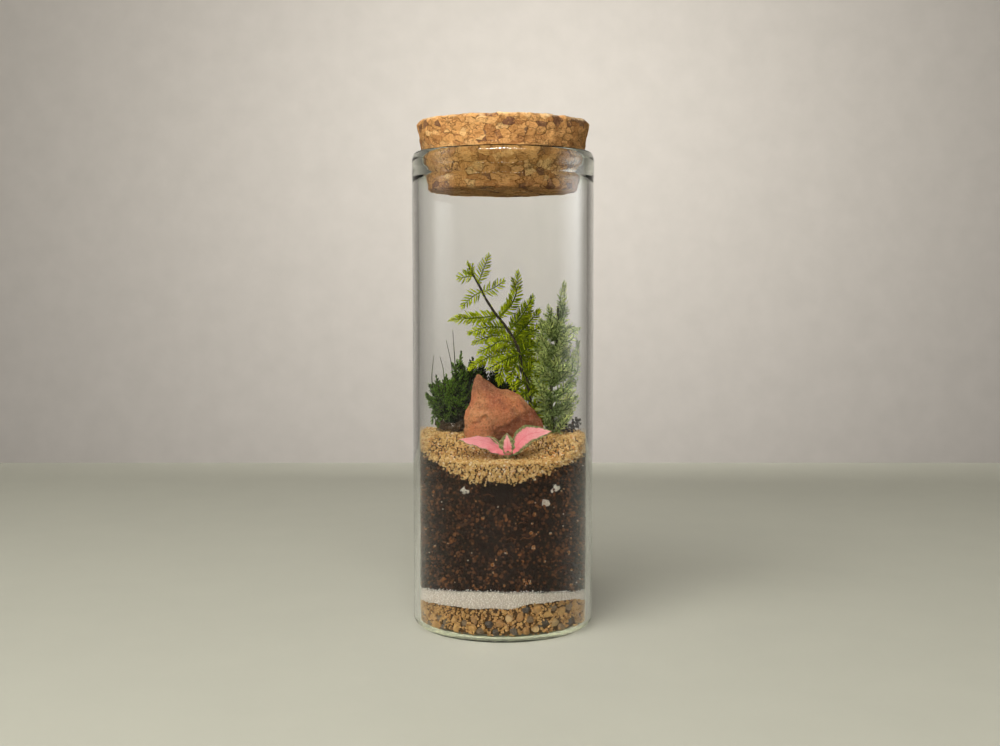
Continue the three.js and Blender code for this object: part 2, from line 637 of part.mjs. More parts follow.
function leafGeometry({ rib, half, side, across }) {
  const along = 7;
  const curve = new THREE.CatmullRomCurve3(rib.map((p) => new THREE.Vector3(...p)));
  const sideways = new THREE.Vector3(...side).normalize();
  const faces = [[], []];
  for (let i = 0; i <= along; i += 1) {
    const share = i / along;
    const width = half * Math.max(0.12, Math.sin(Math.PI * share ** 0.8) ** 0.8);
    const tangent = curve.getTangentAt(share);
    const normal = new THREE.Vector3().crossVectors(tangent, sideways).normalize();
    for (let j = 0; j <= across; j += 1) {
      const offset = (2 * j) / across - 1;
      const wave = 0.09 * Math.abs(offset) * Math.sin(share * LEAF_WAVES * 2 * Math.PI);
      const lift = width * (0.16 * offset * offset + wave);
      const middle = curve.getPointAt(share);
      middle.addScaledVector(sideways, offset * width).addScaledVector(normal, lift);
      faces[0].push(middle.clone().addScaledVector(normal, LEAF_THICKNESS / 2));
      faces[1].push(middle.clone().addScaledVector(normal, -LEAF_THICKNESS / 2));
    }
  }
  const count = faces[0].length;
  const at = (i, j) => i * (across + 1) + j;
  const triangles = [];
  for (let i = 0; i < along; i += 1) {
    for (let j = 0; j < across; j += 1) {
      const [a, b, c, d] = [at(i, j), at(i + 1, j), at(i + 1, j + 1), at(i, j + 1)];
      triangles.push(a, b, c, a, c, d);
      triangles.push(count + a, count + c, count + b, count + a, count + d, count + c);
    }
  }
  const rim = [];
  for (let i = 0; i < along; i += 1) {
    rim.push([at(i, 0), at(i + 1, 0)], [at(i + 1, across), at(i, across)]);
  }
  for (let j = 0; j < across; j += 1) {
    rim.push([at(along, j), at(along, j + 1)], [at(0, j + 1), at(0, j)]);
  }
  rim.forEach(([a, b]) => triangles.push(a, count + a, count + b, a, count + b, b));
  return geometryFrom([...faces[0], ...faces[1]], triangles);
}

function cuttingSolid() {
  const stem = solidOf(peg(CUTTING_ROOT, ROOT_RADIUS, ROOT_END + GAP, 46.7));
  return fused([stem, ...LEAVES.map((leaf) => solidOf(leafGeometry(leaf)))]);
}

// Holes for the roots, and the layers that they pass through
const rootHoles = [CUTTING_ROOT, TALL_ROOT, SIDE_ROOT, MOSS_ROOT].map((root) => (
  solidOf(peg(root, ROOT_RADIUS + GAP, ROOT_END, 60))));

function soilSolid() {
  const bed = solidOf(layerGeometry({
    low: whiteSandTop,
    high: soilTop,
    lowRings: LOWER_RINGS,
    highRings: SOIL_RINGS,
    wallRows: 4,
    dent: 0.3,
  }));
  const pockets = PERLITE.map((crumb, i) => solidOf(perliteGeometry(crumb, i, 0.35)));
  return [...pockets, ...rootHoles].reduce((soil, hole) => soil.subtract(hole), bed);
}

function goldenSandSolid() {
  const bed = solidOf(layerGeometry({
    low: soilTop,
    high: goldenSandTop,
    lowRings: SOIL_RINGS,
    highRings: TOP_RINGS,
    wallRows: 2,
    dent: 0.3,
  }));
  return [stoneRoom(), ...rootHoles].reduce((sand, hole) => sand.subtract(hole), bed);
}

function whiteSandSolid() {
  return solidOf(layerGeometry({
    low: gravelTop,
    high: whiteSandTop,
    lowRings: LOWER_RINGS,
    highRings: LOWER_RINGS,
    wallRows: 2,
    dent: 0.15,
  }));
}

// What grows above the sand stays clear of it and of the stone
function aboveSand() {
  const clearTop = (x, y) => goldenSandTop(x, y) + GAP;
  return solidOf(layerGeometry({
    low: () => ROOT_END,
    high: clearTop,
    lowRings: TOP_RINGS,
    highRings: TOP_RINGS,
    wallRows: 1,
    dent: 0,
  }));
}

function clearOfGround(plant, root) {
  const crown = plant.subtract(aboveSand()).subtract(stoneRoom());
  const rootPeg = solidOf(peg(root, ROOT_RADIUS, ROOT_END + GAP, goldenSandTop(...root) + 1));
  return largestPiece(crown.add(rootPeg));
}

const terrarium = new THREE.Group();

function place(name, geometry, look) {
  const mesh = new THREE.Mesh(geometry, new THREE.MeshStandardMaterial(materials[look]));
  mesh.name = name;
  terrarium.add(mesh);
}

place('glass_jar', geometryOf(solidOf(jarGeometry())), 'glass');
place('cork_stopper', geometryOf(solidOf(corkGeometry())), 'cork');
place('gravel_layer', geometryOf(gravelSolid()), 'gravel');
place('white_sand_layer', geometryOf(whiteSandSolid()), 'whiteSand');
place('soil_layer', geometryOf(soilSolid()), 'soil');
place('golden_sand_layer', geometryOf(goldenSandSolid()), 'goldenSand');
PERLITE.forEach((crumb, i) => place(`perlite_${i + 1}`, perliteGeometry(crumb, i), 'perlite'));
place('stone', geometryOf(solidOf(stoneGeometry())), 'stone');
place('pink_leaf_cutting', geometryOf(cuttingSolid()), 'pinkLeaf');
place('tall_frond', geometryOf(clearOfGround(tallFrondSolid(), TALL_ROOT)), 'yellowGreen');
place('side_frond', geometryOf(clearOfGround(sideFrondSolid(), SIDE_ROOT)), 'blueGreen');
place('moss_clump', geometryOf(clearOfGround(mossSolid(), MOSS_ROOT)), 'moss');

export default terrarium;
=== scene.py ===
"""The looks of a corked glass jar that is planted as a closed terrarium.

The frame gives every solid its place. Each operator dresses one piece or one group of like pieces,
in metres, with the front of the jar towards -Y.
"""

import math

import bpy
import numpy as np
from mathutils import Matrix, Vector, noise


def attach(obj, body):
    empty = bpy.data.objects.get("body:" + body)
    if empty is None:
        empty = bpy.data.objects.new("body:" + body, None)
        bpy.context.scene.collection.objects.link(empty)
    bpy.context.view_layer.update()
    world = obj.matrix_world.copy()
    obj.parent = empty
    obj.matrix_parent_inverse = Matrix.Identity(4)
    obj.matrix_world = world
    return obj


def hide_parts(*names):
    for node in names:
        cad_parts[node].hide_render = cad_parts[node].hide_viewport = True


bl_info = {
    "name": "Corked Terrarium",
    "version": (1, 0, 0),
    "blender": (4, 5, 0),
    "location": "View3D > Sidebar > Terrarium",
    "description": "Dresses the solids of a corked, planted glass jar",
    "category": "Object",
}

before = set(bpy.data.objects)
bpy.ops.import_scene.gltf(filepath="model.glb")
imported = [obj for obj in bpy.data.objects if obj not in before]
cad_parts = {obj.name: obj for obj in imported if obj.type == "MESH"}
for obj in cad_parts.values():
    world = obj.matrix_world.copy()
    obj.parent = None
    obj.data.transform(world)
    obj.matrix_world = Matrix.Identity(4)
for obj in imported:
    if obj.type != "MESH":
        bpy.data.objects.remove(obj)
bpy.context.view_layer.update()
MM = 0.001

# Sizes shared with the solids, in millimetres
JAR_RADIUS = 23.5
INNER_RADIUS = 21.85
CORNER_RADIUS = 21.05
FILL_RADIUS = 21.55
FLOOR = 1.1
PUNT = 0.7
BEAD_FOOT = 115
RIM = 122.6
CORK_BOTTOM = 112.3
CORK_TOP = 130.3
STONE_PIT = (-4.9, -6.2, 54.5)
STONE_RIGHT = 11
ROOTS_END = 46
PLANT_LIMIT = 21.3
CUTTING_PLACE = (1.2, -12, 0)

# Seeds of what is scattered at random
CORK_SEED = 3
STONE_SEED = 8
GRAVEL_SEED = 21
WHITE_SAND_SEED = 31
SOIL_SEED = 41
GOLDEN_SAND_SEED = 51
GRAIN_SEED = 20
TALL_SEED = 4
SIDE_SEED = 8
MOSS_SEED = 12
MOSS_CRUMB_SEED = 17
ROOT_CRUMB_SEED = 18


# Small helpers


def tint(red, green, blue):
    """A colour given in the 0 to 255 steps of a screen, as linear light."""
    steps = [v / 255 for v in (red, green, blue)]
    return tuple(v / 12.92 if v <= 0.04045 else ((v + 0.055) / 1.055) ** 2.4 for v in steps) + (1.0,)


def smooth_step(low, high, value):
    """0 below low, 1 above high and an S-shaped rise between them."""
    share = np.clip((value - low) / (high - low), 0, 1)
    return share * share * (3 - 2 * share)


def ripple(x, y, size):
    """Small waves of a poured surface."""
    return size * (np.sin(x * 0.71 + y * 0.43) + np.sin(y * 0.93 - x * 0.37 + 2)) / 2


# The surfaces between the layers: each gives its height over a place on the floor


def jar_floor(x, y):
    return FLOOR + 0.8 - PUNT * np.minimum(1, np.hypot(x, y) / CORNER_RADIUS)


def gravel_top(x, y):
    heap = 1.2 * smooth_step(1, 8, x) * smooth_step(-4, -15, y)
    return 6.5 + 0.02 * np.abs(x) - 0.075 * y + 0.001 * y * y + heap + ripple(x, y, 0.2)


def white_sand_top(x, y):
    return 9.55 - 0.011 * x - 0.085 * y + 0.0034 * y * y + ripple(y, x, 0.2)


def soil_top(x, y):
    dip = np.maximum(0, 1 - (x / 21.7) ** 2) ** 1.2 * (1 - 0.012 * x)
    return 46.5 - 0.02 * x - 6.5 * dip * smooth_step(8, -14, y) + ripple(x, y, 0.25)


def golden_sand_top(x, y):
    bank = 5.2 * smooth_step(0, 1, (y + 13) / 15 + 0.6 * (x / FILL_RADIUS) ** 2)
    back_slope = 1.4 * smooth_step(6, 21, y)
    left_heap = 0.8 * (np.minimum(0, x) / FILL_RADIUS) ** 2 * smooth_step(-6, 2, y)
    return 44.6 + bank - back_slope + left_heap + ripple(y, x, 0.25)


def mesh_object(name, points, faces):
    """A mesh object from points in millimetres."""
    mesh = bpy.data.meshes.new(name)
    mesh.from_pydata([tuple(p) for p in np.asarray(points, float) * MM], [], faces)
    mesh.update()
    mesh.shade_smooth()
    piece = bpy.data.objects.new(name, mesh)
    bpy.context.scene.collection.objects.link(piece)
    return piece


def coordinates(piece):
    flat = np.empty(len(piece.data.vertices) * 3)
    piece.data.vertices.foreach_get("co", flat)
    return flat.reshape(-1, 3) / MM


def move_to(piece, points):
    piece.data.vertices.foreach_set("co", (np.asarray(points) * MM).ravel())
    piece.data.update()


def outward(piece):
    """Merges doubles and turns the faces of a closed mesh outwards."""
    bpy.context.view_layer.objects.active = piece
    bpy.ops.object.select_all(action="DESELECT")
    piece.select_set(True)
    bpy.ops.object.mode_set(mode="EDIT")
    bpy.ops.mesh.select_all(action="SELECT")
    bpy.ops.mesh.remove_doubles(threshold=1e-7)
    bpy.ops.mesh.normals_make_consistent(inside=False)
    bpy.ops.object.mode_set(mode="OBJECT")


def plain_mesh(piece):
    """Replaces a piece's modifiers by the mesh that they make."""
    bpy.context.view_layer.update()
    shown = piece.evaluated_get(bpy.context.evaluated_depsgraph_get())
    made = bpy.data.meshes.new_from_object(shown)
    piece.modifiers.clear()
    piece.data = made
    return piece


def cad_copy(node, name):
    """A merged copy of a CAD node's mesh."""
    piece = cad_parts[node].copy()
    piece.data = piece.data.copy()
    piece.name = name
    piece.parent = None
    for key in [k for k in piece.keys() if k.startswith("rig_")]:
        del piece[key]
    bpy.context.scene.collection.objects.link(piece)
    outward(piece)
    return piece


def finish_piece(piece, material, slot, *nodes):
    """Gives a piece its material and body, and hides the CAD nodes that it takes the place of; the slot is
    not used.
    """
    if material:
        piece.data.materials.clear()
        piece.data.materials.append(material)
    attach(piece, "root")
    if nodes:
        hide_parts(*nodes)
    return piece


def turned(name, profile, segments):
    """A closed solid of revolution about the Z axis from (radius, height) pairs."""
    points, rows = [], []
    for radius, height in profile:
        if radius < 1e-6:
            rows.append([len(points)] * segments)
            points.append((0, 0, height))
            continue
        rows.append(list(range(len(points), len(points) + segments)))
        for k in range(segments):
            angle = 2 * math.pi * k / segments
            points.append((radius * math.cos(angle), radius * math.sin(angle), height))
    faces = []
    for low, high in zip(rows, rows[1:]):
        for k in range(segments):
            loop = [low[k], low[(k + 1) % segments], high[(k + 1) % segments], high[k]]
            corners = list(dict.fromkeys(loop))
            if len(corners) > 2:
                faces.append(corners)
    piece = mesh_object(name, points, faces)
    outward(piece)
    return piece


def rounded(profile, step):
    """Adds points along a profile so that no part of it is longer than step."""
    dense = [profile[0]]
    for (r0, z0), (r1, z1) in zip(profile, profile[1:]):
        count = max(1, math.ceil(math.hypot(r1 - r0, z1 - z0) / step))
        dense += [(r0 + (r1 - r0) * k / count, z0 + (z1 - z0) * k / count) for k in range(1, count + 1)]
    return dense


class NodeMaker:
    """Adds nodes to a tree, and links or sets what they read."""

    def __init__(self, tree):
        self.tree = tree

    def add(self, kind, inputs, **settings):
        node = self.tree.nodes.new(kind)
        for key, value in settings.items():
            setattr(node, key, value)
        for key, value in inputs.items():
            self.put(node.inputs[key], value)
        return node

    def put(self, socket, value):
        if isinstance(value, bpy.types.NodeSocket):
            self.tree.links.new(value, socket)
        else:
            socket.default_value = value

    def math(self, operation, a, b=0.0):
        return self.add("ShaderNodeMath", {0: a, 1: b}, operation=operation).outputs[0]

    def product(self, first, *others):
        for other in others:
            first = self.math("MULTIPLY", first, other)
        return first

    def axes(self, vector):
        """The X, Y and Z of a vector."""
        return tuple(self.add("ShaderNodeSeparateXYZ", {"Vector": vector}).outputs)

    def span(self, value, low, high, out_low=0.0, out_high=1.0, **settings):
        """Takes the span from low to high to the span from out_low to out_high."""
        inputs = {"Value": value, "From Min": low, "From Max": high, "To Min": out_low, "To Max": out_high}
        return self.add("ShaderNodeMapRange", inputs, **settings).outputs["Result"]


class Shader(NodeMaker):
    """A material with a principled shader, built node by node on Object coordinates."""

    def __init__(self, name):
        self.material = bpy.data.materials.new(name)
        self.material.use_nodes = True
        super().__init__(self.material.node_tree)
        self.tree.nodes.clear()
        self.output = self.add("ShaderNodeOutputMaterial", {})
        self.skin = self.add("ShaderNodeBsdfPrincipled", {})
        self.tree.links.new(self.skin.outputs[0], self.output.inputs["Surface"])
        self.place = self.add("ShaderNodeTexCoord", {}).outputs["Object"]

    def set(self, **inputs):
        """Sets or links inputs of the principled shader, with _ for a space."""
        for key, value in inputs.items():
            self.put(self.skin.inputs[key.replace("_", " ")], value)

    def attribute(self, name):
        return self.add("ShaderNodeAttribute", {}, attribute_name=name).outputs["Fac"]

    def stretched(self, x, y, z):
        return self.add("ShaderNodeMapping", {"Vector": self.place, "Scale": (x, y, z)}).outputs[0]

    def clouds(self, size, detail=4.0, place=None, roughness=0.55):
        """Noise from 0 to 1 whose blotches are about size millimetres across."""
        inputs = {"Vector": place or self.place, "Scale": 1 / (size * MM), "Detail": detail,
                  "Roughness": roughness}
        return self.add("ShaderNodeTexNoise", inputs).outputs["Fac"]

    def cells(self, size, place, feature="F1"):
        """Cells about size millimetres across."""
        inputs = {"Vector": place, "Scale": 1 / (size * MM)}
        return self.add("ShaderNodeTexVoronoi", inputs, feature=feature)

    def ramp(self, value, stops):
        node = self.add("ShaderNodeValToRGB", {"Fac": value})
        elements = node.color_ramp.elements
        while len(elements) < len(stops):
            elements.new(0.5)
        for element, (position, colour) in zip(elements, stops):
            element.position = position
            element.color = tint(*colour)
        return node.outputs["Color"]

    def mix(self, share, a, b):
        """The colour a, with b over it by share."""
        return self.add("ShaderNodeMix", {0: share, 6: a, 7: b}, data_type="RGBA").outputs[2]

    def centred(self, value):
        return self.math("SUBTRACT", value, 0.5)

    def blend(self, share, other):
        """Shows another shader in place of the principled one, by share."""
        both = self.add("ShaderNodeMixShader", {0: share, 1: self.skin.outputs[0], 2: other.outputs[0]})
        self.put(self.output.inputs["Surface"], both.outputs[0])

    def bump(self, height, distance, strength=1.0, under=None):
        inputs = {"Height": height, "Distance": distance * MM, "Strength": strength}
        if under:
            inputs["Normal"] = under
        return self.add("ShaderNodeBump", inputs).outputs["Normal"]


# Finishes


def glass_finish():
    """Clear glass, faintly green in its bead and foot, which lets the light of the lamps through."""
    s = Shader("clear_glass")
    streaks = s.clouds(9, 2, s.stretched(1, 1, 0.12))
    height = s.axes(s.place)[2]
    rim = s.span(height, (BEAD_FOOT - 2) * MM, (BEAD_FOOT + 2) * MM)
    foot = s.span(height, 2.4 * MM, 1.0 * MM)
    clear = s.mix(rim, tint(244, 245, 244), tint(238, 243, 234))
    s.set(Base_Color=s.mix(foot, clear, tint(214, 218, 198)), Roughness=0.0, IOR=1.5)
    s.set(Transmission_Weight=1.0, Specular_Tint=tint(137, 137, 137), Normal=s.bump(streaks, 0.05, 0.35))
    lit = s.add("ShaderNodeBsdfTransparent", {"Color": tint(249, 249, 247)})
    s.blend(s.add("ShaderNodeLightPath", {}).outputs["Is Shadow Ray"], lit)
    return s.material


def cork_finish():
    """Pressed cork granules, flattened, with dark seams, cracks, a few bark-dark flecks and a painted
    highlight on its top edge.
    """
    s = Shader("pressed_cork")
    warped = s.add("ShaderNodeVectorMath", {0: s.stretched(1, 1, 1.5)}, operation="ADD")
    bend = s.add("ShaderNodeTexNoise", {"Vector": s.place, "Scale": 420.0, "Detail": 3.0})
    nudge = s.add("ShaderNodeVectorMath", {0: bend.outputs["Color"], "Scale": 0.0016}, operation="SCALE")
    s.put(warped.inputs[1], nudge.outputs[0])
    granule = s.cells(2.3, warped.outputs[0])
    seam = s.cells(2.3, warped.outputs[0], "DISTANCE_TO_EDGE").outputs["Distance"]
    small_seam = s.cells(1.1, warped.outputs[0], "DISTANCE_TO_EDGE").outputs["Distance"]
    pick = s.add("ShaderNodeSeparateColor", {"Color": granule.outputs["Color"]})
    browns = [(0.0, (186, 128, 74)), (0.3, (213, 155, 90)), (0.55, (232, 174, 107)), (0.8, (219, 159, 94)),
              (1.0, (242, 195, 130))]
    base = s.ramp(pick.outputs[0], browns)
    flat = s.clouds(1.1, 5, s.stretched(1, 1, 5), 0.7)
    tilted = s.clouds(1.0, 5, s.stretched(3, 3, 1), 0.7)
    streak = s.mix(s.span(pick.outputs[2], 0.45, 0.55), flat, tilted)
    base = s.mix(s.span(streak, 0.5, 0.68, 0.0, 0.75), base, tint(140, 88, 46))
    base = s.mix(s.span(streak, 0.44, 0.3, 0.0, 0.6), base, tint(232, 190, 132))
    speckle = s.clouds(0.6, 5, roughness=0.75)
    base = s.mix(s.span(speckle, 0.52, 0.7, 0.0, 0.6), base, tint(140, 86, 44))
    bark = s.span(s.product(pick.outputs[1], s.span(speckle, 0.3, 0.5, 0.9, 1.05)), 0.9, 0.94)
    base = s.mix(s.product(bark, 0.8), base, tint(112, 76, 60))
    edge = s.span(seam, 0.0, 0.08, 1.0, 0.0)
    broken = s.product(edge, s.span(s.clouds(2.2, 3), 0.44, 0.6))
    fine = s.product(s.span(small_seam, 0.0, 0.09, 0.8, 0.0), s.span(s.clouds(2.4, 2), 0.5, 0.6))
    dark = s.math("MAXIMUM", broken, fine)
    base = s.mix(s.product(dark, 0.75), base, tint(100, 58, 28))
    # Painted highlight: a pale cream band along the outer edge of the top, where the overhead light falls.
    painted_top_highlight = s.math("ADD", s.axes(s.place)[2], s.product(s.centred(s.clouds(3.2, 2)), 4 * MM))
    painted_top_highlight = s.span(painted_top_highlight, (CORK_TOP - 0.75) * MM, (CORK_TOP - 0.15) * MM)
    reach = s.add("ShaderNodeVectorMath", {0: s.place, 1: (1, 1, 0)}, operation="MULTIPLY").outputs[0]
    reach = s.add("ShaderNodeVectorMath", {0: reach}, operation="LENGTH").outputs["Value"]
    painted_top_highlight = s.product(painted_top_highlight, s.span(reach, 20.9 * MM, 21.9 * MM, 0.1, 0.7))
    base = s.mix(painted_top_highlight, base, tint(240, 208, 158))
    s.set(Base_Color=base, Roughness=0.86, Specular_IOR_Level=0.25)
    s.set(Normal=s.bump(streak, 0.45, 0.8, s.bump(s.math("SUBTRACT", 1.0, dark), 0.4, 0.8)))
    return s.material


def grain_finish(name, stops, roughness=0.8, speck=0.12, gloss=0.3, shadow=(70, 55, 40), vary=0.0):
    """Loose grains. Each grain's tone picks its colour; the bed under them has tone 0 and takes the shadow
    colour, as painted shade in the gaps between grains.
    """
    s = Shader(name)
    tone = s.attribute("tone")
    mottle = s.clouds(speck, 4, roughness=0.7)
    drift = s.product(s.centred(mottle), vary)
    colour = s.ramp(s.math("ADD", tone, drift), stops)
    bed = s.span(tone, 0.0, 0.001, 1.0, 0.0)
    colour = s.mix(s.span(mottle, 0.3, 0.75, 0.0, 0.35), colour, tint(*shadow))
    # Painted shade: the bed, with tone 0, takes the flat shadow colour in the gaps between the grains.
    colour = s.mix(bed, colour, tint(*shadow))
    s.set(Base_Color=colour, Roughness=roughness, Specular_IOR_Level=gloss)
    s.set(Normal=s.bump(mottle, 0.08, 0.6))
    return s.material


def stone_finish():
    """Red-brown sandstone with a sandy skin, pale bruises, purple patches, an ochre pit and painted shade
    under the fold of its front.
    """
    s = Shader("red_sandstone")
    broad = s.clouds(7, 5, roughness=0.6)
    grain = s.clouds(0.55, 4, roughness=0.8)
    spots = s.clouds(1.3, 5, roughness=0.8)
    reds = [(0.3, (222, 130, 90)), (0.45, (246, 156, 106)), (0.58, (254, 178, 122)),
            (0.72, (238, 146, 100))]
    base = s.ramp(broad, reds)
    x, y, z = (s.product(value, 1 / MM) for value in s.axes(s.place))
    rough = s.product(s.centred(s.clouds(2.2, 4)), 5.0)

    def line(slope_x, slope_z, level):
        """How far a place lies above a line on the front face, in millimetres."""
        total = s.math("ADD", s.product(x, slope_x), s.product(z, slope_z))
        return s.math("SUBTRACT", total, level)

    front = s.span(y, -3.0, -1.5, 1.0, 0.0)
    # Painted shade: the front below the fold on the right is darkened, where the undercut lies in shade.
    under = s.span(s.math("ADD", line(-0.56, 0.83, 43.2), rough), -0.8, 0.5, 0.75, 0.0)
    base = s.mix(s.product(under, s.span(x, -3.0, -1.0)), base, tint(166, 94, 68))
    base = s.mix(s.span(s.math("ADD", z, rough), 59.5, 63.0, 0.0, 0.6), base, tint(140, 88, 74))
    purple = s.span(s.clouds(4.5, 3, s.stretched(1, 1, 0.6)), 0.55, 0.68, 0.0, 0.4)
    base = s.mix(purple, base, tint(128, 76, 62))
    ridge = s.span(s.math("ABSOLUTE", line(0.61, 0.793, 47.6)), 0.05, 0.35, 0.8, 0.0)
    length = s.span(s.math("ABSOLUTE", line(0.793, -0.61, -41.3)), 1.4, 2.2, 1.0, 0.0)
    pale = s.product(ridge, length, front, s.span(spots, 0.35, 0.6))
    base = s.mix(pale, base, tint(226, 178, 140))
    base = s.mix(s.span(spots, 0.55, 0.63, 0.0, 0.4), base, tint(128, 70, 50))
    base = s.mix(s.span(grain, 0.52, 0.63, 0.0, 0.5), base, tint(146, 86, 62))
    base = s.mix(s.span(grain, 0.46, 0.34, 0.0, 0.6), base, tint(236, 180, 140))
    hollow = tuple(v * MM for v in np.array(STONE_PIT) - [0, 0.4, 0])
    pit = s.add("ShaderNodeVectorMath", {0: s.place, 1: hollow}, operation="DISTANCE")
    base = s.mix(s.span(pit.outputs["Value"], 0.0005, 0.0012, 0.85, 0.0), base, tint(134, 82, 30))
    s.set(Base_Color=base, Roughness=0.92, Specular_IOR_Level=0.15)
    s.set(Normal=s.bump(grain, 0.6, 1.0, s.bump(spots, 0.8, 1.0)))
    return s.material


def leaf_finish():
    """Pink blade with fine veins, a deeper pink to its lower edge and a thin olive margin."""
    s = Shader("pink_leaf")
    across = s.math("ABSOLUTE", s.attribute("across"))
    along = s.attribute("along")
    soft = s.clouds(1.3, 4)
    base = s.ramp(s.math("ADD", s.product(soft, 0.5), s.product(along, 0.45)),
                  [(0.12, (204, 88, 100)), (0.4, (223, 132, 138)), (0.8, (233, 166, 166))])
    ribs = s.math("ADD", s.product(along, 42.0), s.product(across, -9.0))
    vein = s.span(s.math("ABSOLUTE", s.math("SINE", ribs)), 0.0, 0.22, 0.45, 0.0)
    base = s.mix(vein, base, tint(203, 92, 100))
    midrib = s.span(across, 0.0, 0.07, 0.7, 0.0)
    base = s.mix(midrib, base, tint(214, 104, 110))
    ragged = s.math("ADD", across, s.span(s.clouds(0.5, 3), 0.3, 0.7, -0.09, 0.09))
    margin = s.math("SUBTRACT", 1.0, s.attribute("margin"))
    olive = s.span(s.math("SUBTRACT", ragged, margin), -0.04, 0.05)
    green = s.ramp(s.clouds(0.7, 3), [(0.35, (84, 86, 46)), (0.65, (142, 146, 92))])
    base = s.mix(olive, base, green)
    s.set(Base_Color=base, Roughness=0.55, Specular_IOR_Level=0.35, Subsurface_Weight=0.15)
    s.set(Subsurface_Radius=(0.0006, 0.0003, 0.0003), Subsurface_Scale=1.0)
    s.set(Normal=s.bump(vein, 0.08, 0.5, s.bump(soft, 0.15, 0.4)))
    return s.material


def frond_finish(name, young, mid, old, stem, glow=0.2, patches=0.22, painted_light_span=(0, 1, 0.0)):
    """Translucent needles, each with its own tone from old to young, on stems with a bark of their own.

    From the first place of the last argument to the second, in millimetres to the right, their tone falls
    by its third value: painted light on the left and painted shade on the right.
    """
    s = Shader(name)
    tone = s.math("ADD", s.attribute("tone"), s.span(s.clouds(4, 2), 0.32, 0.68, -patches, patches))
    # Painted light and shade: the needles are lighter to the left of the span and darker to the right of
    # it.
    left, right, shade_amount = painted_light_span
    painted_shade = s.span(s.axes(s.place)[0], left * MM, right * MM, -shade_amount / 2, shade_amount / 2)
    tone = s.math("SUBTRACT", tone, painted_shade)
    base = s.ramp(tone, [(0.0, old), (0.5, mid), (1.0, young)])
    base = s.mix(s.span(s.clouds(0.6, 3), 0.4, 0.8, 0.0, 0.35), base, tint(*old))
    woody = s.attribute("woody")
    bark = s.ramp(s.clouds(0.8, 4), [(0.35, stem), (0.7, tuple(min(255, v + 34) for v in stem))])
    base = s.mix(woody, base, bark)
    s.set(Base_Color=base, Roughness=0.5, Specular_IOR_Level=0.35)
    s.set(Normal=s.bump(s.clouds(0.4, 3), 0.05, 0.4))
    thin = s.add("ShaderNodeBsdfTranslucent", {"Color": base})
    s.blend(s.product(s.math("SUBTRACT", 1.0, woody), glow), thin)
    return s.material


def perlite_finish():
    """Chalky white mineral with tan pores."""
    s = Shader("perlite")
    pores = s.clouds(0.35, 4, roughness=0.7)
    whites = [(0.3, (176, 164, 140)), (0.55, (232, 226, 210)), (0.8, (246, 242, 232))]
    s.set(Base_Color=s.ramp(pores, whites), Roughness=0.9, Normal=s.bump(pores, 0.2, 0.8))
    return s.material


# Node trees for what repeats

STEM_STEP = 0.6
TWO_ROWS = math.pi
SPIRAL = 2.4
FRONT = (0, -1, 0)
SHOOT_HABIT = {"facing": FRONT, "turn": SPIRAL, "stem": 0.42, "bark": 0.3}


class Tree(NodeMaker):
    """A geometry node tree with named inputs, which a modifier on a piece runs."""

    def __init__(self, name, **inputs):
        super().__init__(bpy.data.node_groups.new(name, "GeometryNodeTree"))
        face = self.tree.interface
        face.new_socket("Geometry", in_out="INPUT", socket_type="NodeSocketGeometry")
        face.new_socket("Geometry", in_out="OUTPUT", socket_type="NodeSocketGeometry")
        for key, kind in inputs.items():
            face.new_socket(key, in_out="INPUT", socket_type="NodeSocket" + kind)
        self.inside = self.add("NodeGroupInput", {}).outputs
        self.end = self.add("NodeGroupOutput", {})

    def vector(self, operation, a, b=None, scale=None):
        node = self.add("ShaderNodeVectorMath", {0: a}, operation=operation)
        if b is not None:
            self.put(node.inputs[1], b)
        if scale is not None:
            self.put(node.inputs["Scale"], scale)
        return node.outputs[0]

    def named(self, name):
        node = self.add("GeometryNodeInputNamedAttribute", {"Name": name}, data_type="FLOAT")
        return node.outputs["Attribute"]

    def chance(self, low, high, seed_step=0.0):
        """A number or a vector at random, with a seed some steps after the tree's own."""
        several = isinstance(low, tuple)
        seed = self.math("ADD", self.inside["Seed"], seed_step)
        kind, first, result = ("FLOAT_VECTOR", 0, 0) if several else ("FLOAT", 2, 1)
        inputs = {first: low, first + 1: high, "Seed": seed}
        return self.add("FunctionNodeRandomValue", inputs, data_type=kind).outputs[result]

    def store(self, geometry, name, value, domain="POINT"):
        inputs = {"Geometry": geometry, "Name": name, "Value": value}
        node = self.add("GeometryNodeStoreNamedAttribute", inputs, data_type="FLOAT", domain=domain)
        return node.outputs[0]

    def resampled(self, curve, step):
        """A curve with its points a step apart."""
        inputs = {"Curve": curve, "Length": step}
        return self.add("GeometryNodeResampleCurve", inputs, mode="LENGTH").outputs[0]

    def instances(self, points, pattern, scale, rotation):
        inputs = {"Points": points, "Instance": pattern, "Scale": scale, "Rotation": rotation}
        return self.add("GeometryNodeInstanceOnPoints", inputs).outputs[0]

    def finish(self, geometry):
        whole = self.add("GeometryNodeRealizeInstances", {"Geometry": geometry}).outputs[0]
        inputs = {"Geometry": whole, "Material": self.inside["Material"]}
        self.put(self.end.inputs[0], self.add("GeometryNodeSetMaterial", inputs).outputs[0])
        return self.tree


def fit_tree(piece, tree, values):
    """Puts a tree on a piece, with its inputs set by socket identifier."""
    modifier = piece.modifiers.new("nodes", "NODES")
    modifier.node_group = tree
    sockets = {i.name: i.identifier for i in tree.interface.items_tree if i.in_out == "INPUT"}
    for key, value in values.items():
        modifier[sockets[key]] = value
    bpy.context.view_layer.update()


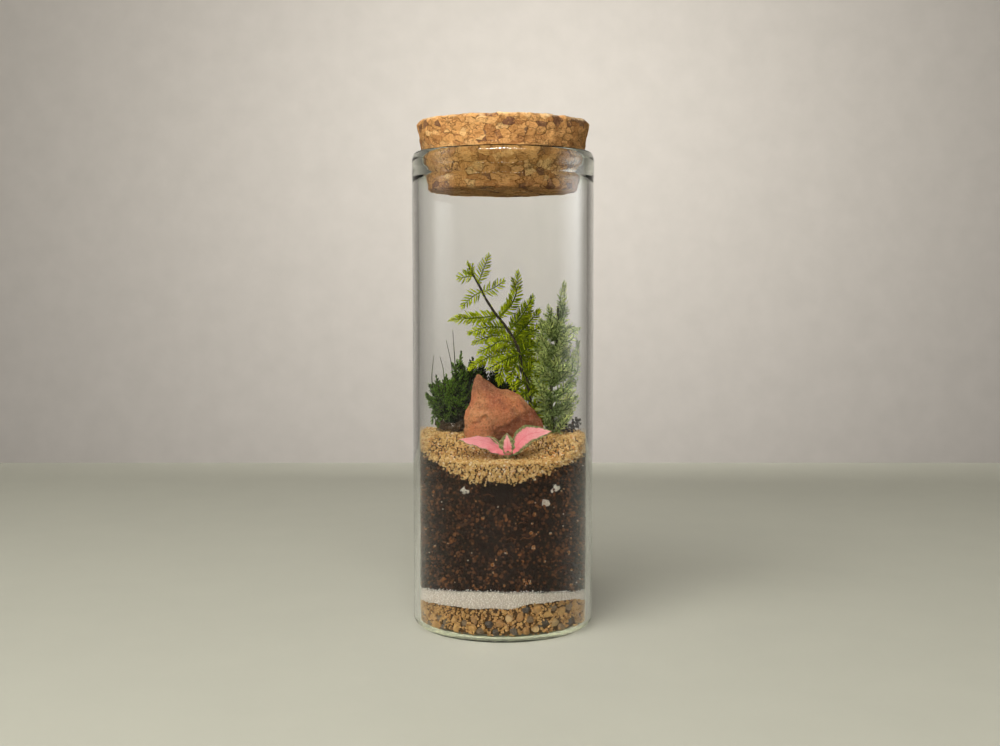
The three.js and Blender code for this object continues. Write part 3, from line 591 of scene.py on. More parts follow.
def grain_tree():
    """Puts a rough grain on every point, with the point's own size and tone."""
    t = Tree("grains_on_points", Detail="Int", Roughness="Float", Seed="Int", Material="Material")
    ball = t.add("GeometryNodeMeshIcoSphere", {"Radius": 1.0, "Subdivisions": t.inside["Detail"]})
    place = t.add("GeometryNodeInputPosition", {}).outputs[0]
    bumps = t.add("ShaderNodeTexNoise", {"Vector": place, "Scale": 1.3, "Detail": 1.0}).outputs["Color"]
    shift = t.vector("SCALE", t.vector("SUBTRACT", bumps, (0.5, 0.5, 0.5)), scale=t.inside["Roughness"])
    grain = t.add("GeometryNodeSetPosition", {"Geometry": ball.outputs[0], "Offset": shift}).outputs[0]
    spin = t.chance((0, 0, 0), (6.283, 6.283, 6.283))
    shape = t.chance((0.72, 0.8, 0.62), (1.25, 1.15, 0.95), 1.0)
    scale = t.vector("SCALE", shape, scale=t.named("size"))
    points = t.add("GeometryNodeMeshToPoints", {"Mesh": t.inside["Geometry"]}).outputs[0]
    return t.finish(t.instances(points, grain, scale, spin))


def needle_tree():
    """Lets needles grow along every path, each turned by an angle from the last, and adds the stem."""
    t = Tree("needles_along_paths", Facing="Vector", Spacing="Float", Length="Float", Width="Float",
             Lean="Float", Turn="Float", Stem="Float", Bark="Float", Blade="Object", Seed="Int",
             Material="Material")
    share = t.add("GeometryNodeSplineParameter", {}).outputs["Factor"]
    points = t.resampled(t.inside["Geometry"], t.inside["Spacing"])
    tone = t.product(t.chance(0.15, 1.0, 11.0), t.math("ADD", 0.55, share))
    points = t.store(points, "needle_tone", tone)
    blade = t.add("GeometryNodeObjectInfo", {"Object": t.inside["Blade"]}).outputs["Geometry"]
    needles = t.instances(points, blade, needle_scale(t, share), needle_turn(t, share))
    needles = t.store(needles, "tone", t.named("needle_tone"), "INSTANCE")
    smooth = t.resampled(t.inside["Geometry"], STEM_STEP * MM)
    joined = t.add("GeometryNodeJoinGeometry", {})
    t.put(joined.inputs[0], needles)
    t.put(joined.inputs[0], stem_tube(t, smooth, share))
    return t.finish(joined.outputs[0])


def needle_turn(t, share):
    """Turns a needle round its stem and leans it forward, less so towards the tip of the shoot."""
    way = t.add("GeometryNodeInputTangent", {}).outputs[0]
    index = t.add("GeometryNodeInputIndex", {}).outputs[0]
    sideways = t.vector("NORMALIZE", t.vector("CROSS_PRODUCT", way, t.inside["Facing"]))
    angle = t.math("ADD", t.product(index, t.inside["Turn"]), t.chance(-0.32, 0.32))
    out = t.add("ShaderNodeVectorRotate", {"Vector": sideways, "Axis": way, "Angle": angle}).outputs[0]
    lean = t.math("ADD", t.inside["Lean"], t.chance(-0.16, 0.16, 3.0))
    tip_lean = t.product(lean, t.math("SUBTRACT", 1.0, t.product(t.math("POWER", share, 4.0), 0.7)))
    forward = t.vector("SCALE", way, scale=t.math("COSINE", tip_lean))
    aside = t.vector("SCALE", out, scale=t.math("SINE", tip_lean))
    inputs = {"Primary Axis": t.vector("ADD", forward, aside),
              "Secondary Axis": t.vector("CROSS_PRODUCT", out, way)}
    turn = t.add("FunctionNodeAxesToRotation", inputs, primary_axis="X", secondary_axis="Z")
    return turn.outputs[0]


def needle_scale(t, share):
    """Shorter needles at the tip of a shoot and at its very foot."""
    taper = t.math("SUBTRACT", 1.0, t.product(t.math("POWER", share, 3.0), 0.55))
    foot = t.math("MINIMUM", 1.0, t.math("ADD", 0.45, t.product(share, 4.0)))
    length = t.product(t.product(taper, foot), t.chance(0.78, 1.14, 7.0), t.inside["Length"])
    width = t.inside["Width"]
    return t.add("ShaderNodeCombineXYZ", {"X": length, "Y": width, "Z": width}).outputs[0]


def stem_tube(t, curve, share):
    """A knotty six-sided stem that thins towards its tip."""
    radius = t.add("GeometryNodeInputRadius", {}).outputs[0]
    girth = t.product(radius, t.math("SUBTRACT", 1.0, t.product(share, 0.6)))
    knots = t.add("ShaderNodeTexNoise", {"Scale": 700.0, "Detail": 2.0}).outputs["Fac"]
    swell = t.product(girth, t.math("ADD", 0.65, t.product(knots, 0.7)), t.inside["Stem"])
    sized = t.store(curve, "girth", swell)
    even = t.add("GeometryNodeSetCurveRadius", {"Curve": sized, "Radius": 1.0}).outputs[0]
    ring = t.add("GeometryNodeCurvePrimitiveCircle", {"Resolution": 6, "Radius": 1.0}).outputs[0]
    inputs = {"Curve": even, "Profile Curve": ring, "Scale": t.named("girth"), "Fill Caps": True}
    tube = t.add("GeometryNodeCurveToMesh", inputs).outputs[0]
    return t.store(tube, "woody", t.inside["Bark"])


def blade_object(name, bend=0.16, segments=4):
    """One flat needle of unit length and width along +X, keeled below and bent up at the tip.

    It is a pattern for the node tree and is removed once the shoots are made.
    """
    points = [(0, 0, 0)]
    for k in range(1, segments):
        share = k / segments
        half = 0.5 * math.sin(math.pi * share ** 0.75) ** 0.8
        lift = bend * share * share
        points += [(share, half, lift + 0.05), (share, 0, lift - 0.14)]
        points += [(share, -half, lift + 0.05), (share, 0, lift + 0.1)]
    points.append((1, 0, bend))
    faces = [(0, 1 + (k + 1) % 4, 1 + k) for k in range(4)]
    for ring in range(segments - 2):
        for k in range(4):
            a, b = 1 + 4 * ring + k, 1 + 4 * ring + (k + 1) % 4
            faces.append((a, b, b + 4, a + 4))
    last = 1 + 4 * (segments - 2)
    faces += [(last + k, last + (k + 1) % 4, len(points) - 1) for k in range(4)]
    blade = mesh_object(name, np.array(points) / MM, faces)
    outward(blade)
    return blade


def path_object(name, paths, girth):
    """A curve object of smooth splines, one for each path of points in millimetres."""
    curve = bpy.data.curves.new(name, "CURVE")
    curve.dimensions = "3D"
    for path in paths:
        dense = spline_points(np.array(path, float), 12)
        spline = curve.splines.new("POLY")
        spline.points.add(len(dense) - 1)
        spline.points.foreach_set("co", np.c_[dense * MM, np.ones(len(dense))].ravel())
        spline.points.foreach_set("radius", np.full(len(dense), girth))
    piece = bpy.data.objects.new(name, curve)
    bpy.context.scene.collection.objects.link(piece)
    return piece


def spline_points(path, steps):
    """Points of a smooth curve through a path's points."""
    ends = np.vstack([2 * path[0] - path[1], path, 2 * path[-1] - path[-2]])
    result = []
    for a, b, c, d in zip(ends, ends[1:], ends[2:], ends[3:]):
        for u in np.linspace(0, 1, steps, endpoint=False):
            result.append(0.5 * (2 * b + (c - a) * u + (2 * a - 5 * b + 4 * c - d) * u ** 2
                                 + (3 * b - a - 3 * c + d) * u ** 3))
    result.append(path[-1])
    return np.array(result)


def grow_shoots(name, paths, girth, material, **habit):
    """A mesh of shoots: stems along the paths, and needles whose sizes habit gives in millimetres."""
    habit = {**SHOOT_HABIT, **habit}
    values = {key.capitalize(): value for key, value in habit.items()}
    for key in ("Spacing", "Length", "Width", "Stem"):
        values[key] *= MM
    blade = blade_object(name + "_blade")
    piece = path_object(name, paths, girth)
    fit_tree(piece, needle_tree(), {**values, "Blade": blade, "Material": material})
    shown = piece.evaluated_get(bpy.context.evaluated_depsgraph_get())
    result = bpy.data.objects.new(name, bpy.data.meshes.new_from_object(shown))
    bpy.context.scene.collection.objects.link(result)
    bpy.data.objects.remove(piece)
    bpy.data.objects.remove(blade)
    return result


def reach_of(points):
    """The distance of points from the jar's axis."""
    return np.hypot(points[:, 0], points[:, 1])


def drawn_in(points, share):
    """Points drawn towards the jar's axis, each to a share of its distance."""
    return points * np.c_[share, share, np.ones(len(share))]


def inside_glass(points):
    """Bends what would cross the glass back inside it."""
    reach = reach_of(points)
    start = PLANT_LIMIT - 2.2
    over = np.maximum(reach - start, 0)
    bent = start + (PLANT_LIMIT - start) * np.tanh(over / (PLANT_LIMIT - start))
    return drawn_in(points, np.where(reach > start, bent / np.maximum(reach, 1e-9), 1))


def store_values(piece, key, values):
    """Keeps a value for each point of a piece, for its material or node tree to read."""
    layer = piece.data.attributes.new(key, "FLOAT", "POINT")
    layer.data.foreach_set("value", np.asarray(values, np.float32))


def join_pieces(name, pieces):
    bpy.ops.object.select_all(action="DESELECT")
    for piece in pieces:
        piece.select_set(True)
    bpy.context.view_layer.objects.active = pieces[0]
    if len(pieces) > 1:
        bpy.ops.object.join()
    pieces[0].name = name
    return pieces[0]


def grains(name, places, sizes, tones, material, detail=1, roughness=0.9, seed=1):
    """Grains at the given places, in millimetres, with a radius and a tone from 0 to 1 each."""
    piece = mesh_object(name, places, [])
    store_values(piece, "size", np.asarray(sizes) * MM)
    store_values(piece, "tone", tones)
    values = {"Detail": detail, "Roughness": roughness, "Seed": seed, "Material": material}
    fit_tree(piece, grain_tree(), values)
    return plain_mesh(piece)


# Shapes


def filleted(profile, cut, steps=5):
    """Rounds the corners of a profile with small arcs."""
    profile = [np.array(p, float) for p in profile]
    result = [profile[0]]
    for before, corner, after in zip(profile, profile[1:], profile[2:]):
        back, forth = before - corner, after - corner
        near = min(cut, *(0.48 * np.linalg.norm(side) for side in (back, forth)))
        start = corner + back / np.linalg.norm(back) * near
        end = corner + forth / np.linalg.norm(forth) * near
        for u in np.linspace(0, 1, steps):
            result.append((1 - u) ** 2 * start + 2 * u * (1 - u) * corner + u * u * end)
    result.append(profile[-1])
    return [tuple(p) for p in result]


JAR_PROFILE = [
    (0, PUNT), (17.5, 0.42), (19.9, 0), (22, 0), (JAR_RADIUS, 1.5), (JAR_RADIUS, 112.2), (23.41, 115.2),
    (JAR_RADIUS, 116.8), (JAR_RADIUS, 121), (23.05, 122.15), (22.2, RIM), (21.45, 122), (20.95, 120.4),
    (20.95, 118.4), (21.3, 117.2), (21.7, 116.1), (INNER_RADIUS, BEAD_FOOT), (INNER_RADIUS, 1.9),
    (CORNER_RADIUS, FLOOR), (0, FLOOR + PUNT),
]


def jar_mesh():
    """The blown wall: a rolled bead at the mouth, and a faint waviness all the way down."""
    profile = rounded(filleted(JAR_PROFILE, 0.7), 3.0)
    piece = turned("glass_jar_clear", profile, 144)
    points = coordinates(piece)
    reach, height = reach_of(points), points[:, 2]
    angle = np.arctan2(points[:, 1], points[:, 0])
    side = smooth_step(6, 14, height) * smooth_step(21, 21.5, reach)
    wave = 0.03 * np.sin(3 * angle + 0.07 * height) + 0.02 * np.sin(7 * angle - 0.11 * height + 1)
    move_to(piece, drawn_in(points, 1 - side * (0.03 + wave * 0.9) / np.maximum(reach, 1)))
    return piece


def cork_mesh(quick):
    """A tapered stopper whose granules stand out a little, with chips along its top edge."""
    profile = [(0, CORK_BOTTOM), (18.6, CORK_BOTTOM), (19.3, CORK_BOTTOM + 0.5), (22.3, CORK_TOP - 0.8),
               (21.7, CORK_TOP), (0, CORK_TOP)]
    piece = turned("cork_granules", rounded(profile, 1.0 if quick else 0.42), 120 if quick else 250)
    points = coordinates(piece)
    noise.seed_set(CORK_SEED)
    for k, (x, y, z) in enumerate(points):
        reach = math.hypot(x, y)
        depth = max(0.0, cork_depth(Vector((x, y, z * 1.5)) / 2.4))
        chip = cork_chip(x, y, z)
        if reach > 18.5:
            points[k, :2] *= 1 - (depth + chip * 2.2) / reach
        if z > CORK_TOP - 0.2:
            points[k, 2] -= depth * 0.8 + chip
        if z < CORK_BOTTOM + 0.2:
            points[k, 2] += depth * 0.8
    move_to(piece, points)
    return piece


def cork_depth(spot):
    """How far the cork's skin lies below its highest granules: seams, steps between granules and grit."""
    spot += noise.noise_vector(spot * 1.1) * 0.3
    near, cells = noise.voronoi(spot)
    groove = 1 - smooth_step(0.0, 0.14, near[1] - near[0])
    lift = 0.14 * (noise.cell(cells[0] * 3.0) - 0.5)
    grit = 0.07 * noise.fractal(spot * 3.1, 0.8, 2.0, 3)
    return 0.12 * groove * (0.5 + noise.noise(spot * 0.9)) + 0.07 - lift - grit


def cork_chip(x, y, z):
    """How much is broken off along the top edge."""
    if z <= CORK_TOP - 1.6:
        return 0.0
    angle = math.atan2(y, x)
    chip = 0.55 * max(0.0, noise.noise(Vector((3.2 * math.cos(angle), 3.2 * math.sin(angle), 4))) - 0.22)
    chip *= float(smooth_step(CORK_TOP - 1.6, CORK_TOP - 0.4, z))
    return chip * float(smooth_step(19.5, 21.5, math.hypot(x, y)))


TOP_SKIN = 0.25
EDGE_SKIN = 0.3
BOTTOM_SKIN = 0.15


def bed_mesh(name, low, high, radius, relief, seed, sectors=150, step=0.8):
    """A closed bed between two surfaces, whose rough skin lies just under the grains on it."""
    rows = bed_rows(low, high, radius, sectors, step)
    crown = [[0, 0, float(high(0.0, 0.0)) - TOP_SKIN]]
    root = [[0, 0, float(low(0.0, 0.0)) + BOTTOM_SKIN]]
    points = np.vstack([crown, *rows, root])
    for k in range(1, len(points) - 1):
        spot = Vector(points[k]) * 0.9 + Vector((seed, 0, 0))
        push = relief * noise.fractal(spot, 0.7, 2.0, 3)
        reach = math.hypot(points[k][0], points[k][1])
        if reach > radius - 0.1:
            points[k][:2] *= 1 + min(0.0, push - relief * 0.3) / reach
        else:
            points[k][2] += push * 0.6
    faces = [(0, 1 + k, 1 + (k + 1) % sectors) for k in range(sectors)]
    for row in range(len(rows) - 1):
        a = 1 + row * sectors
        faces += [(a + k, a + k + sectors, a + (k + 1) % sectors + sectors, a + (k + 1) % sectors)
                  for k in range(sectors)]
    a, end = 1 + (len(rows) - 1) * sectors, len(points) - 1
    faces += [(a + k, end, a + (k + 1) % sectors) for k in range(sectors)]
    return mesh_object(name, points, faces)


def bed_rows(low, high, radius, sectors, step):
    """Rings of points over the top of a bed, down its side and back under it."""
    turn = np.arange(sectors) * 2 * math.pi / sectors
    cos, sin = np.cos(turn), np.sin(turn)
    rings = np.arange(step, radius - 0.3, step)
    rows = [np.c_[r * cos, r * sin, high(r * cos, r * sin) - TOP_SKIN] for r in rings]
    x, y = radius * cos, radius * sin
    top, bottom = high(x, y) - EDGE_SKIN, low(x, y) + BOTTOM_SKIN
    count = max(2, int(np.mean(top - bottom) / step))
    rows += [np.c_[x, y, top + (bottom - top) * k / count] for k in range(count + 1)]
    rows += [np.c_[r * cos, r * sin, low(r * cos, r * sin) + BOTTOM_SKIN] for r in rings[::-1][::3]]
    return rows


def wall_places(low, high, pitch, rng):
    """Places against the glass on a jittered grid: x, y and z in millimetres."""
    reach = FILL_RADIUS
    columns = int(2 * math.pi * reach / pitch)
    places = []
    for column in range(columns):
        angle = 2 * math.pi * (column + 0.5 * rng.random()) / columns
        x, y = reach * math.cos(angle), reach * math.sin(angle)
        bottom, top = float(low(x, y)), float(high(x, y))
        z = bottom + pitch * rng.random()
        while z < top:
            slip = (rng.random() - 0.5) * pitch / reach * 1.7
            places.append((reach * math.cos(angle + slip), reach * math.sin(angle + slip), z))
            z += pitch * (0.75 + 0.5 * rng.random())
    return np.array(places)


def top_places(high, pitch, rng):
    """Places on the top surface on a jittered grid."""
    line = np.arange(-FILL_RADIUS, FILL_RADIUS, pitch)
    x, y = (v.ravel() for v in np.meshgrid(line, line))
    x = x + (rng.random(len(x)) - 0.5) * pitch * 0.9
    y = y + (rng.random(len(y)) - 0.5) * pitch * 0.9
    kept = np.hypot(x, y) < FILL_RADIUS - 0.3
    x, y = x[kept], y[kept]
    return np.c_[x, y, high(x, y)]


def against_glass(places, sizes):
    """Draws in the grains that would go through the wall."""
    reach = reach_of(places)
    furthest = INNER_RADIUS - 0.06 - np.asarray(sizes) * 1.12
    return drawn_in(places, np.where(reach > furthest, furthest / reach, 1))


def grain_bed(name, bed, batches, material):
    """One piece from a bed and its batches of grains: (places, sizes, tones, detail, roughness)."""
    bed.data.materials.append(material)
    # Tone 0 paints the bed in the material's shadow colour, as painted shade between the grains.
    store_values(bed, "tone", np.zeros(len(bed.data.vertices)))
    parts = [bed]
    for number, (places, sizes, tones, detail, roughness) in enumerate(batches):
        places = against_glass(places, sizes)
        parts.append(grains(f"{name}_{number}", places, sizes, tones, material, detail, roughness,
                            GRAIN_SEED + number))
    piece = join_pieces(name, parts)
    while len(piece.data.materials) > 1:
        piece.data.materials.pop(index=len(piece.data.materials) - 1)
    return piece


def stone_mesh(quick):
    """The wedge of sandstone: rubbed edges, a sandy skin, small pits and a hollow under its right side."""
    piece = cad_copy("stone", "sandstone_wedge")
    remesh = piece.modifiers.new("skin", "REMESH")
    remesh.mode = "VOXEL"
    remesh.voxel_size = (0.6 if quick else 0.3) * MM
    smooth = piece.modifiers.new("rub", "SMOOTH")
    smooth.iterations = 4 if quick else 8
    smooth.factor = 0.6
    plain_mesh(piece)
    points = coordinates(piece)
    normals = np.array([v.normal for v in piece.data.vertices])
    noise.seed_set(STONE_SEED)
    push = np.array([stone_relief(Vector(spot)) for spot in points])
    x, y, z = points.T
    front = y < -2.5
    fold = (z - 0.675 * x - 52.1 + 0.5 * np.sin(x * 1.3)) * front
    push -= 0.7 * np.where(front & (x > -2.5), smooth_step(0.5, -0.6, fold), 0)
    pit = np.linalg.norm((points - STONE_PIT) * [1, 0.4, 1], axis=1)
    push -= 0.8 * (1 - smooth_step(0.25, 0.85, pit)) * front
    move_to(piece, points + normals * push[:, None])
    piece.data.shade_smooth()
    return piece


def stone_relief(spot):
    """How far the stone stands out at a place: slanting facets, waves, grit and small pocks."""
    _, cells = noise.voronoi(spot / 4.4)
    slant = (spot / 4.4 - cells[0]).dot(noise.noise_vector(cells[0] * 7.3).normalized())
    pock, pocks = noise.voronoi(spot / 1.25)
    relief = 0.26 * noise.fractal(spot * 0.28, 0.9, 2.0, 3) + 0.55 * slant - 0.1
    relief += 0.15 * noise.fractal(spot * 1.3, 0.7, 2.0, 3) + 0.06 * noise.fractal(spot * 4.2, 0.6, 2.0, 2)
    if noise.noise(pocks[0] * 5.7) > 0.1:
        relief -= 0.2 * float(1 - smooth_step(0.08, 0.34, pock[0]))
    return relief


LEAF_ROWS = 44
LEAF_COLUMNS = 18
LEAF_THICKNESS = 0.3


def leaf_mesh(name, rib, half, side, margin):
    """A blade arched along its rib, with quilted halves and a finely toothed edge."""
    rng = np.random.default_rng(len(name) * 7 + LEAF_ROWS)
    curve = spline_points(np.array(rib, float), LEAF_ROWS)
    picks = np.linspace(0, len(curve) - 1, LEAF_ROWS + 1).astype(int)
    sideways = np.array(side, float) / np.linalg.norm(side)
    top, bottom = [], []
    values = {"along": [], "across": [], "margin": []}
    for i, pick in enumerate(picks):
        share = i / LEAF_ROWS
        width = half * max(0.1, math.sin(math.pi * share ** 0.8) ** 0.8)
        ahead, behind = curve[min(pick + 2, len(curve) - 1)], curve[max(pick - 2, 0)]
        normal = np.cross((ahead - behind) / np.linalg.norm(ahead - behind), sideways)
        normal /= np.linalg.norm(normal)
        tooth = 0.05 * math.sin(i * 2.1) + 0.04 * (rng.random() - 0.5)
        for offset in np.linspace(-1, 1, LEAF_COLUMNS + 1):
            reach = offset * width * (1 + tooth * abs(offset) ** 6)
            middle = curve[pick] + sideways * reach + normal * leaf_lift(share, offset, width)
            thin = LEAF_THICKNESS / 2 * (1 - 0.75 * abs(offset) ** 4)
            top.append(middle + normal * thin)
            bottom.append(middle - normal * thin)
            values["along"].append(share)
            values["across"].append(offset)
            values["margin"].append(margin + (1 - margin) * leaf_ends(share, margin))
    piece = mesh_object(name, np.array(top + bottom), leaf_faces())
    for key, numbers in values.items():
        store_values(piece, key, numbers + numbers)
    outward(piece)
    return piece


def leaf_lift(share, offset, width):
    """How far a blade rises from its plane: cupped, waved at the edge, quilted and creased at the rib."""
    wave = 0.09 * abs(offset) * math.sin(share * 8 * math.pi)
    quilt = 0.035 * math.sin(share * 46 - abs(offset) * 8) * min(1, 4 * abs(offset)) * (1 - offset ** 6)
    crease = -0.07 * math.exp(-(offset / 0.1) ** 2)
    return width * (0.16 * offset * offset + wave) + quilt + crease


def leaf_ends(share, margin):
    """How much the olive margin widens at the tip and, where it is broad, at the foot."""
    if margin > 0.4:
        return 0.9 * max(0.0, share - 0.72) / 0.28 + 0.8 * max(0.0, 0.36 - share) / 0.36
    return 0.7 * max(0.0, share - 0.86) / 0.14


def leaf_faces():
    """Faces of the two skins of a blade and of the edge between them."""
    count = (LEAF_ROWS + 1) * (LEAF_COLUMNS + 1)

    def at(i, j):
        return i * (LEAF_COLUMNS + 1) + j

    faces = []
    for i in range(LEAF_ROWS):
        for j in range(LEAF_COLUMNS):
            a, b, c, d = at(i, j), at(i + 1, j), at(i + 1, j + 1), at(i, j + 1)
            faces += [(a, b, c, d), (count + a, count + d, count + c, count + b)]
    edge = [at(i, 0) for i in range(LEAF_ROWS)] + [at(LEAF_ROWS, j) for j in range(LEAF_COLUMNS)]
    edge += [at(i, LEAF_COLUMNS) for i in range(LEAF_ROWS, 0, -1)]
    edge += [at(0, j) for j in range(LEAF_COLUMNS, 0, -1)]
    return faces + [(a, count + a, count + b, b) for a, b in zip(edge, edge[1:] + edge[:1])]


# Leaves of the cutting: name, rib, half width, direction of the blade's width and place of the margin
LEAVES = [
    ("leaf_left", [[0.9, -12, 46], [-4.4, -12.4, 49.1], [-11, -12.5, 49.7]], 2.5, [0.1, 0.82, 0.56], 0.1),
    ("leaf_right", [[1.8, -12, 46], [6, -12.2, 50.7], [12, -12.4, 51.8]], 2.8, [-0.35, 0.55, 0.76], 0.3),
    ("leaf_middle", [[1.2, -12.6, 45.1], [1.1, -12, 48], [0.9, -11, 51.1]], 2.5, [1, 0, 0.05], 0.6),
    ("leaf_small", [[1.2, -12.2, 45.6], [1.3, -13.2, 46.3], [1.4, -14.2, 46.6]], 0.95, [1, 0, 0], 0.1),
    ("leaf_dry", [[0.8, -11.8, 46], [-1.6, -10.8, 48.9], [-4, -10.2, 50.4]], 0.7, [0.5, 0.4, 0.7], 0.9),
    ("leaf_behind", [[1.4, -11.4, 46], [2.6, -10.2, 48.6], [3.4, -9.8, 50.2]], 0.9, [0.8, 0.3, -0.4], 0.9),
]

CUTTING_STEM = [(0, 42.4), (0.6, 42.4), (0.75, 46.2), (0.5, 46.9), (0, 47)]

# Paths of the stems and shoots, foot first, followed from what the photograph shows of them
TALL_STEM = [
    [8, 7, 46], [7.6, 6.9, 54], [6.8, 6.7, 61.6], [5, 6.4, 66], [4.3, 6.2, 70.8], [2.8, 6, 74.4],
    [0.1, 5.8, 78.4], [-1.9, 5.6, 80.8], [-4.4, 5.4, 84.6], [-5.7, 5.3, 87.2], [-6.9, 5.2, 89.4],
    [-8.9, 5.1, 93],
]
TALL_SPRAYS = [
    [[-6.6, 5.2, 89], [-5.2, 5, 92.6], [-3.9, 4.8, 96]],
    [[-7.9, 5.2, 91], [-11.4, 4.8, 90.4]],
    [[-5.5, 5.3, 86.6], [-2.4, 5, 87.8], [0, 4.8, 89.4]],
    [[-5.6, 5.3, 86.9], [-8.4, 4.8, 85.2], [-10.6, 4.6, 83]],
    [[-1.6, 5.6, 80.4], [-7.6, 5, 79.9], [-13.6, 4.6, 79.4]],
    [[0.7, 5.8, 77.4], [-4.2, 4.2, 77.5], [-8.7, 3.4, 76]],
    [[2.8, 6, 74.4], [-2.6, 5.6, 75.2], [-7.7, 5.4, 73.4]],
    [[3.8, 6.2, 72.6], [-1.6, 4.2, 73], [-6.2, 3.2, 70.9]],
    [[4.2, 6.2, 71.2], [-1.8, 5.4, 70.6], [-8.8, 4.9, 66.6]],
    [[4.3, 6.2, 70.2], [0.4, 4, 68.8], [-3.8, 3.6, 66.6]],
    [[4.3, 6.2, 69.8], [0.6, 6, 67], [-0.7, 6, 62.6]],
    [[4.4, 6.2, 69], [2.8, 5.4, 66.6], [1.9, 4.8, 63]],
    [[-1.2, 5.7, 79.9], [2.3, 5.9, 83.3], [3.9, 6.1, 88.2], [3.9, 6.2, 91.6]],
    [[1.7, 5.9, 76.2], [5.6, 6.4, 81.2], [7.8, 6.6, 85.4]],
    [[2.9, 6, 74.2], [6.6, 7, 78.4], [9.6, 7.8, 81.6]],
    [[4.2, 6.2, 71], [7.6, 7.7, 75.4], [10.6, 8.4, 78]],
    [[4.4, 6.3, 69.2], [8, 8, 72.2], [11, 8.8, 73.8]],
    [[5, 6.4, 66.4], [8.4, 8, 68.2], [11.2, 9, 69]],
    [[5.9, 6.6, 64], [8.6, 7.8, 64.4], [11, 8.6, 63.6]],
    [[6.8, 6.8, 61], [8.8, 7.8, 60.4], [10.6, 8.4, 58.4]],
    [[3.6, 6.2, 72.8], [5.4, 8, 77.6], [6.8, 9, 80.6]],
    [[4.4, 6.2, 70], [5.8, 8.4, 74], [7.6, 9.8, 76.8]],
    [[5.2, 6.4, 65.8], [6.8, 8.8, 69.6], [8.6, 10.2, 72.2]],
    [[6.2, 6.6, 63], [7.6, 8.6, 66.4], [9.4, 10, 67.8]],
    [[7, 6.8, 59.6], [8, 8.4, 62.4], [9.2, 9.6, 63.8]],
]
TALL_LOW_SPRAYS = [
    [[7, 6.8, 59], [9.4, 6.2, 60.4], [11.6, 6, 59.6]],
    [[7.4, 6.9, 56], [9.6, 6, 56.8], [11.8, 6.2, 55.2]],
    [[7.7, 6.9, 53.4], [9.4, 6.4, 54.6], [11.4, 7, 53.4]],
    [[6.6, 6.7, 62], [4.4, 5.6, 62.8], [2.6, 5, 61.6]],
    [[7.2, 6.8, 58], [5.8, 6, 59.6], [4.2, 6, 60]],
    [[5.6, 6.5, 65], [8.2, 5.6, 66.8], [10.6, 5.4, 66.2]],
    [[4.4, 6.2, 70], [7.4, 5.4, 72.4], [10, 5.2, 72.6]],
    [[7.6, 6.9, 54], [9.2, 5.2, 57.4], [11.2, 4.4, 58.4]],
    [[7.8, 6.9, 52], [9, 5, 54.4], [10.8, 4.2, 55.6]],
    [[7.8, 6.9, 51.4], [9.4, 5.4, 52.6], [11.4, 4.6, 52.2]],
    [[7, 6.8, 60], [9, 5, 62.4], [11.4, 4.2, 62.6]],
    [[6.8, 6.8, 60.4], [5.2, 4.6, 58.6], [4.2, 4.4, 56.4]],
]
TALL_TUFT = [
    [[-7.4, 5.2, 90.2], [-8.7, 5.1, 92.6], [-9.3, 5, 94.4]],
    [[-8, 5.2, 91.2], [-8.2, 4.8, 92.8], [-8, 4.6, 93.8]],
    [[-7.6, 5.2, 90.8], [-9.2, 5.4, 91.6], [-10, 5.4, 92.2]],
]
SIDE_STEM = [
    [13.2, 2.4, 46], [13.3, 2.4, 50], [12.7, 2, 55.7], [12.7, 1.8, 61.2], [13.4, 1.7, 66.9],
    [14, 1.6, 72.6], [14.3, 1.6, 78.3], [14.4, 1.6, 83],
]
SIDE_SHOOTS = [
    [[14.2, 1.6, 75.5], [16, 1.8, 81.7], [16.1, 1.8, 86], [16.4, 1.8, 88.6]],
    [[14.2, 1.6, 76.2], [12.4, 1.2, 80], [11.8, 1, 83]],
    [[14, 1.6, 72.4], [18, 1.4, 76], [20.6, 1.2, 77.4]],
    [[13.1, 1.7, 64.5], [18.2, 2.6, 67.6], [20.6, 2.8, 73.4]],
]
SIDE_REACH = [
    [54.5, -4, 6.2], [58.5, -4.2, 7.4], [62.5, -4.4, 6.8], [66.5, -4.6, 5.6], [70.5, -4.8, 4.8],
    [74.5, -4.4, 3.8], [78.5, -3.2, 2.6],
]

# Clumps of moss: centre, radii and number of shoots
MOSS_CORES = [
    ([-15.4, 3.4, 57.4], [3.2, 3.4, 3.4], 52),
    ([-13.6, 3.2, 53.8], [2.8, 3, 2.4], 28),
    ([-12, 6.8, 56.4], [2.8, 2.8, 5], 28),
    ([-9.2, 9.8, 59], [3.4, 2.8, 7.4], 46),
    ([-3.8, 12, 57.4], [4, 2.6, 7], 44),
    ([1.4, 12.4, 56.6], [2.6, 2.4, 6], 22),
]
MOSS_STALKS = [
    [[-18.4, 3, 60], [-19, 3, 64], [-18.4, 2.6, 69.9]],
    [[-13.4, 4, 61], [-13.6, 3.6, 67], [-15, 3.2, 73.9]],
    [[-12.6, 6, 62], [-12.9, 5.6, 69], [-13.4, 5.2, 76.5]],
    [[-15.4, 3.4, 60], [-15.8, 3, 66], [-16.6, 2.6, 69.6]],
]
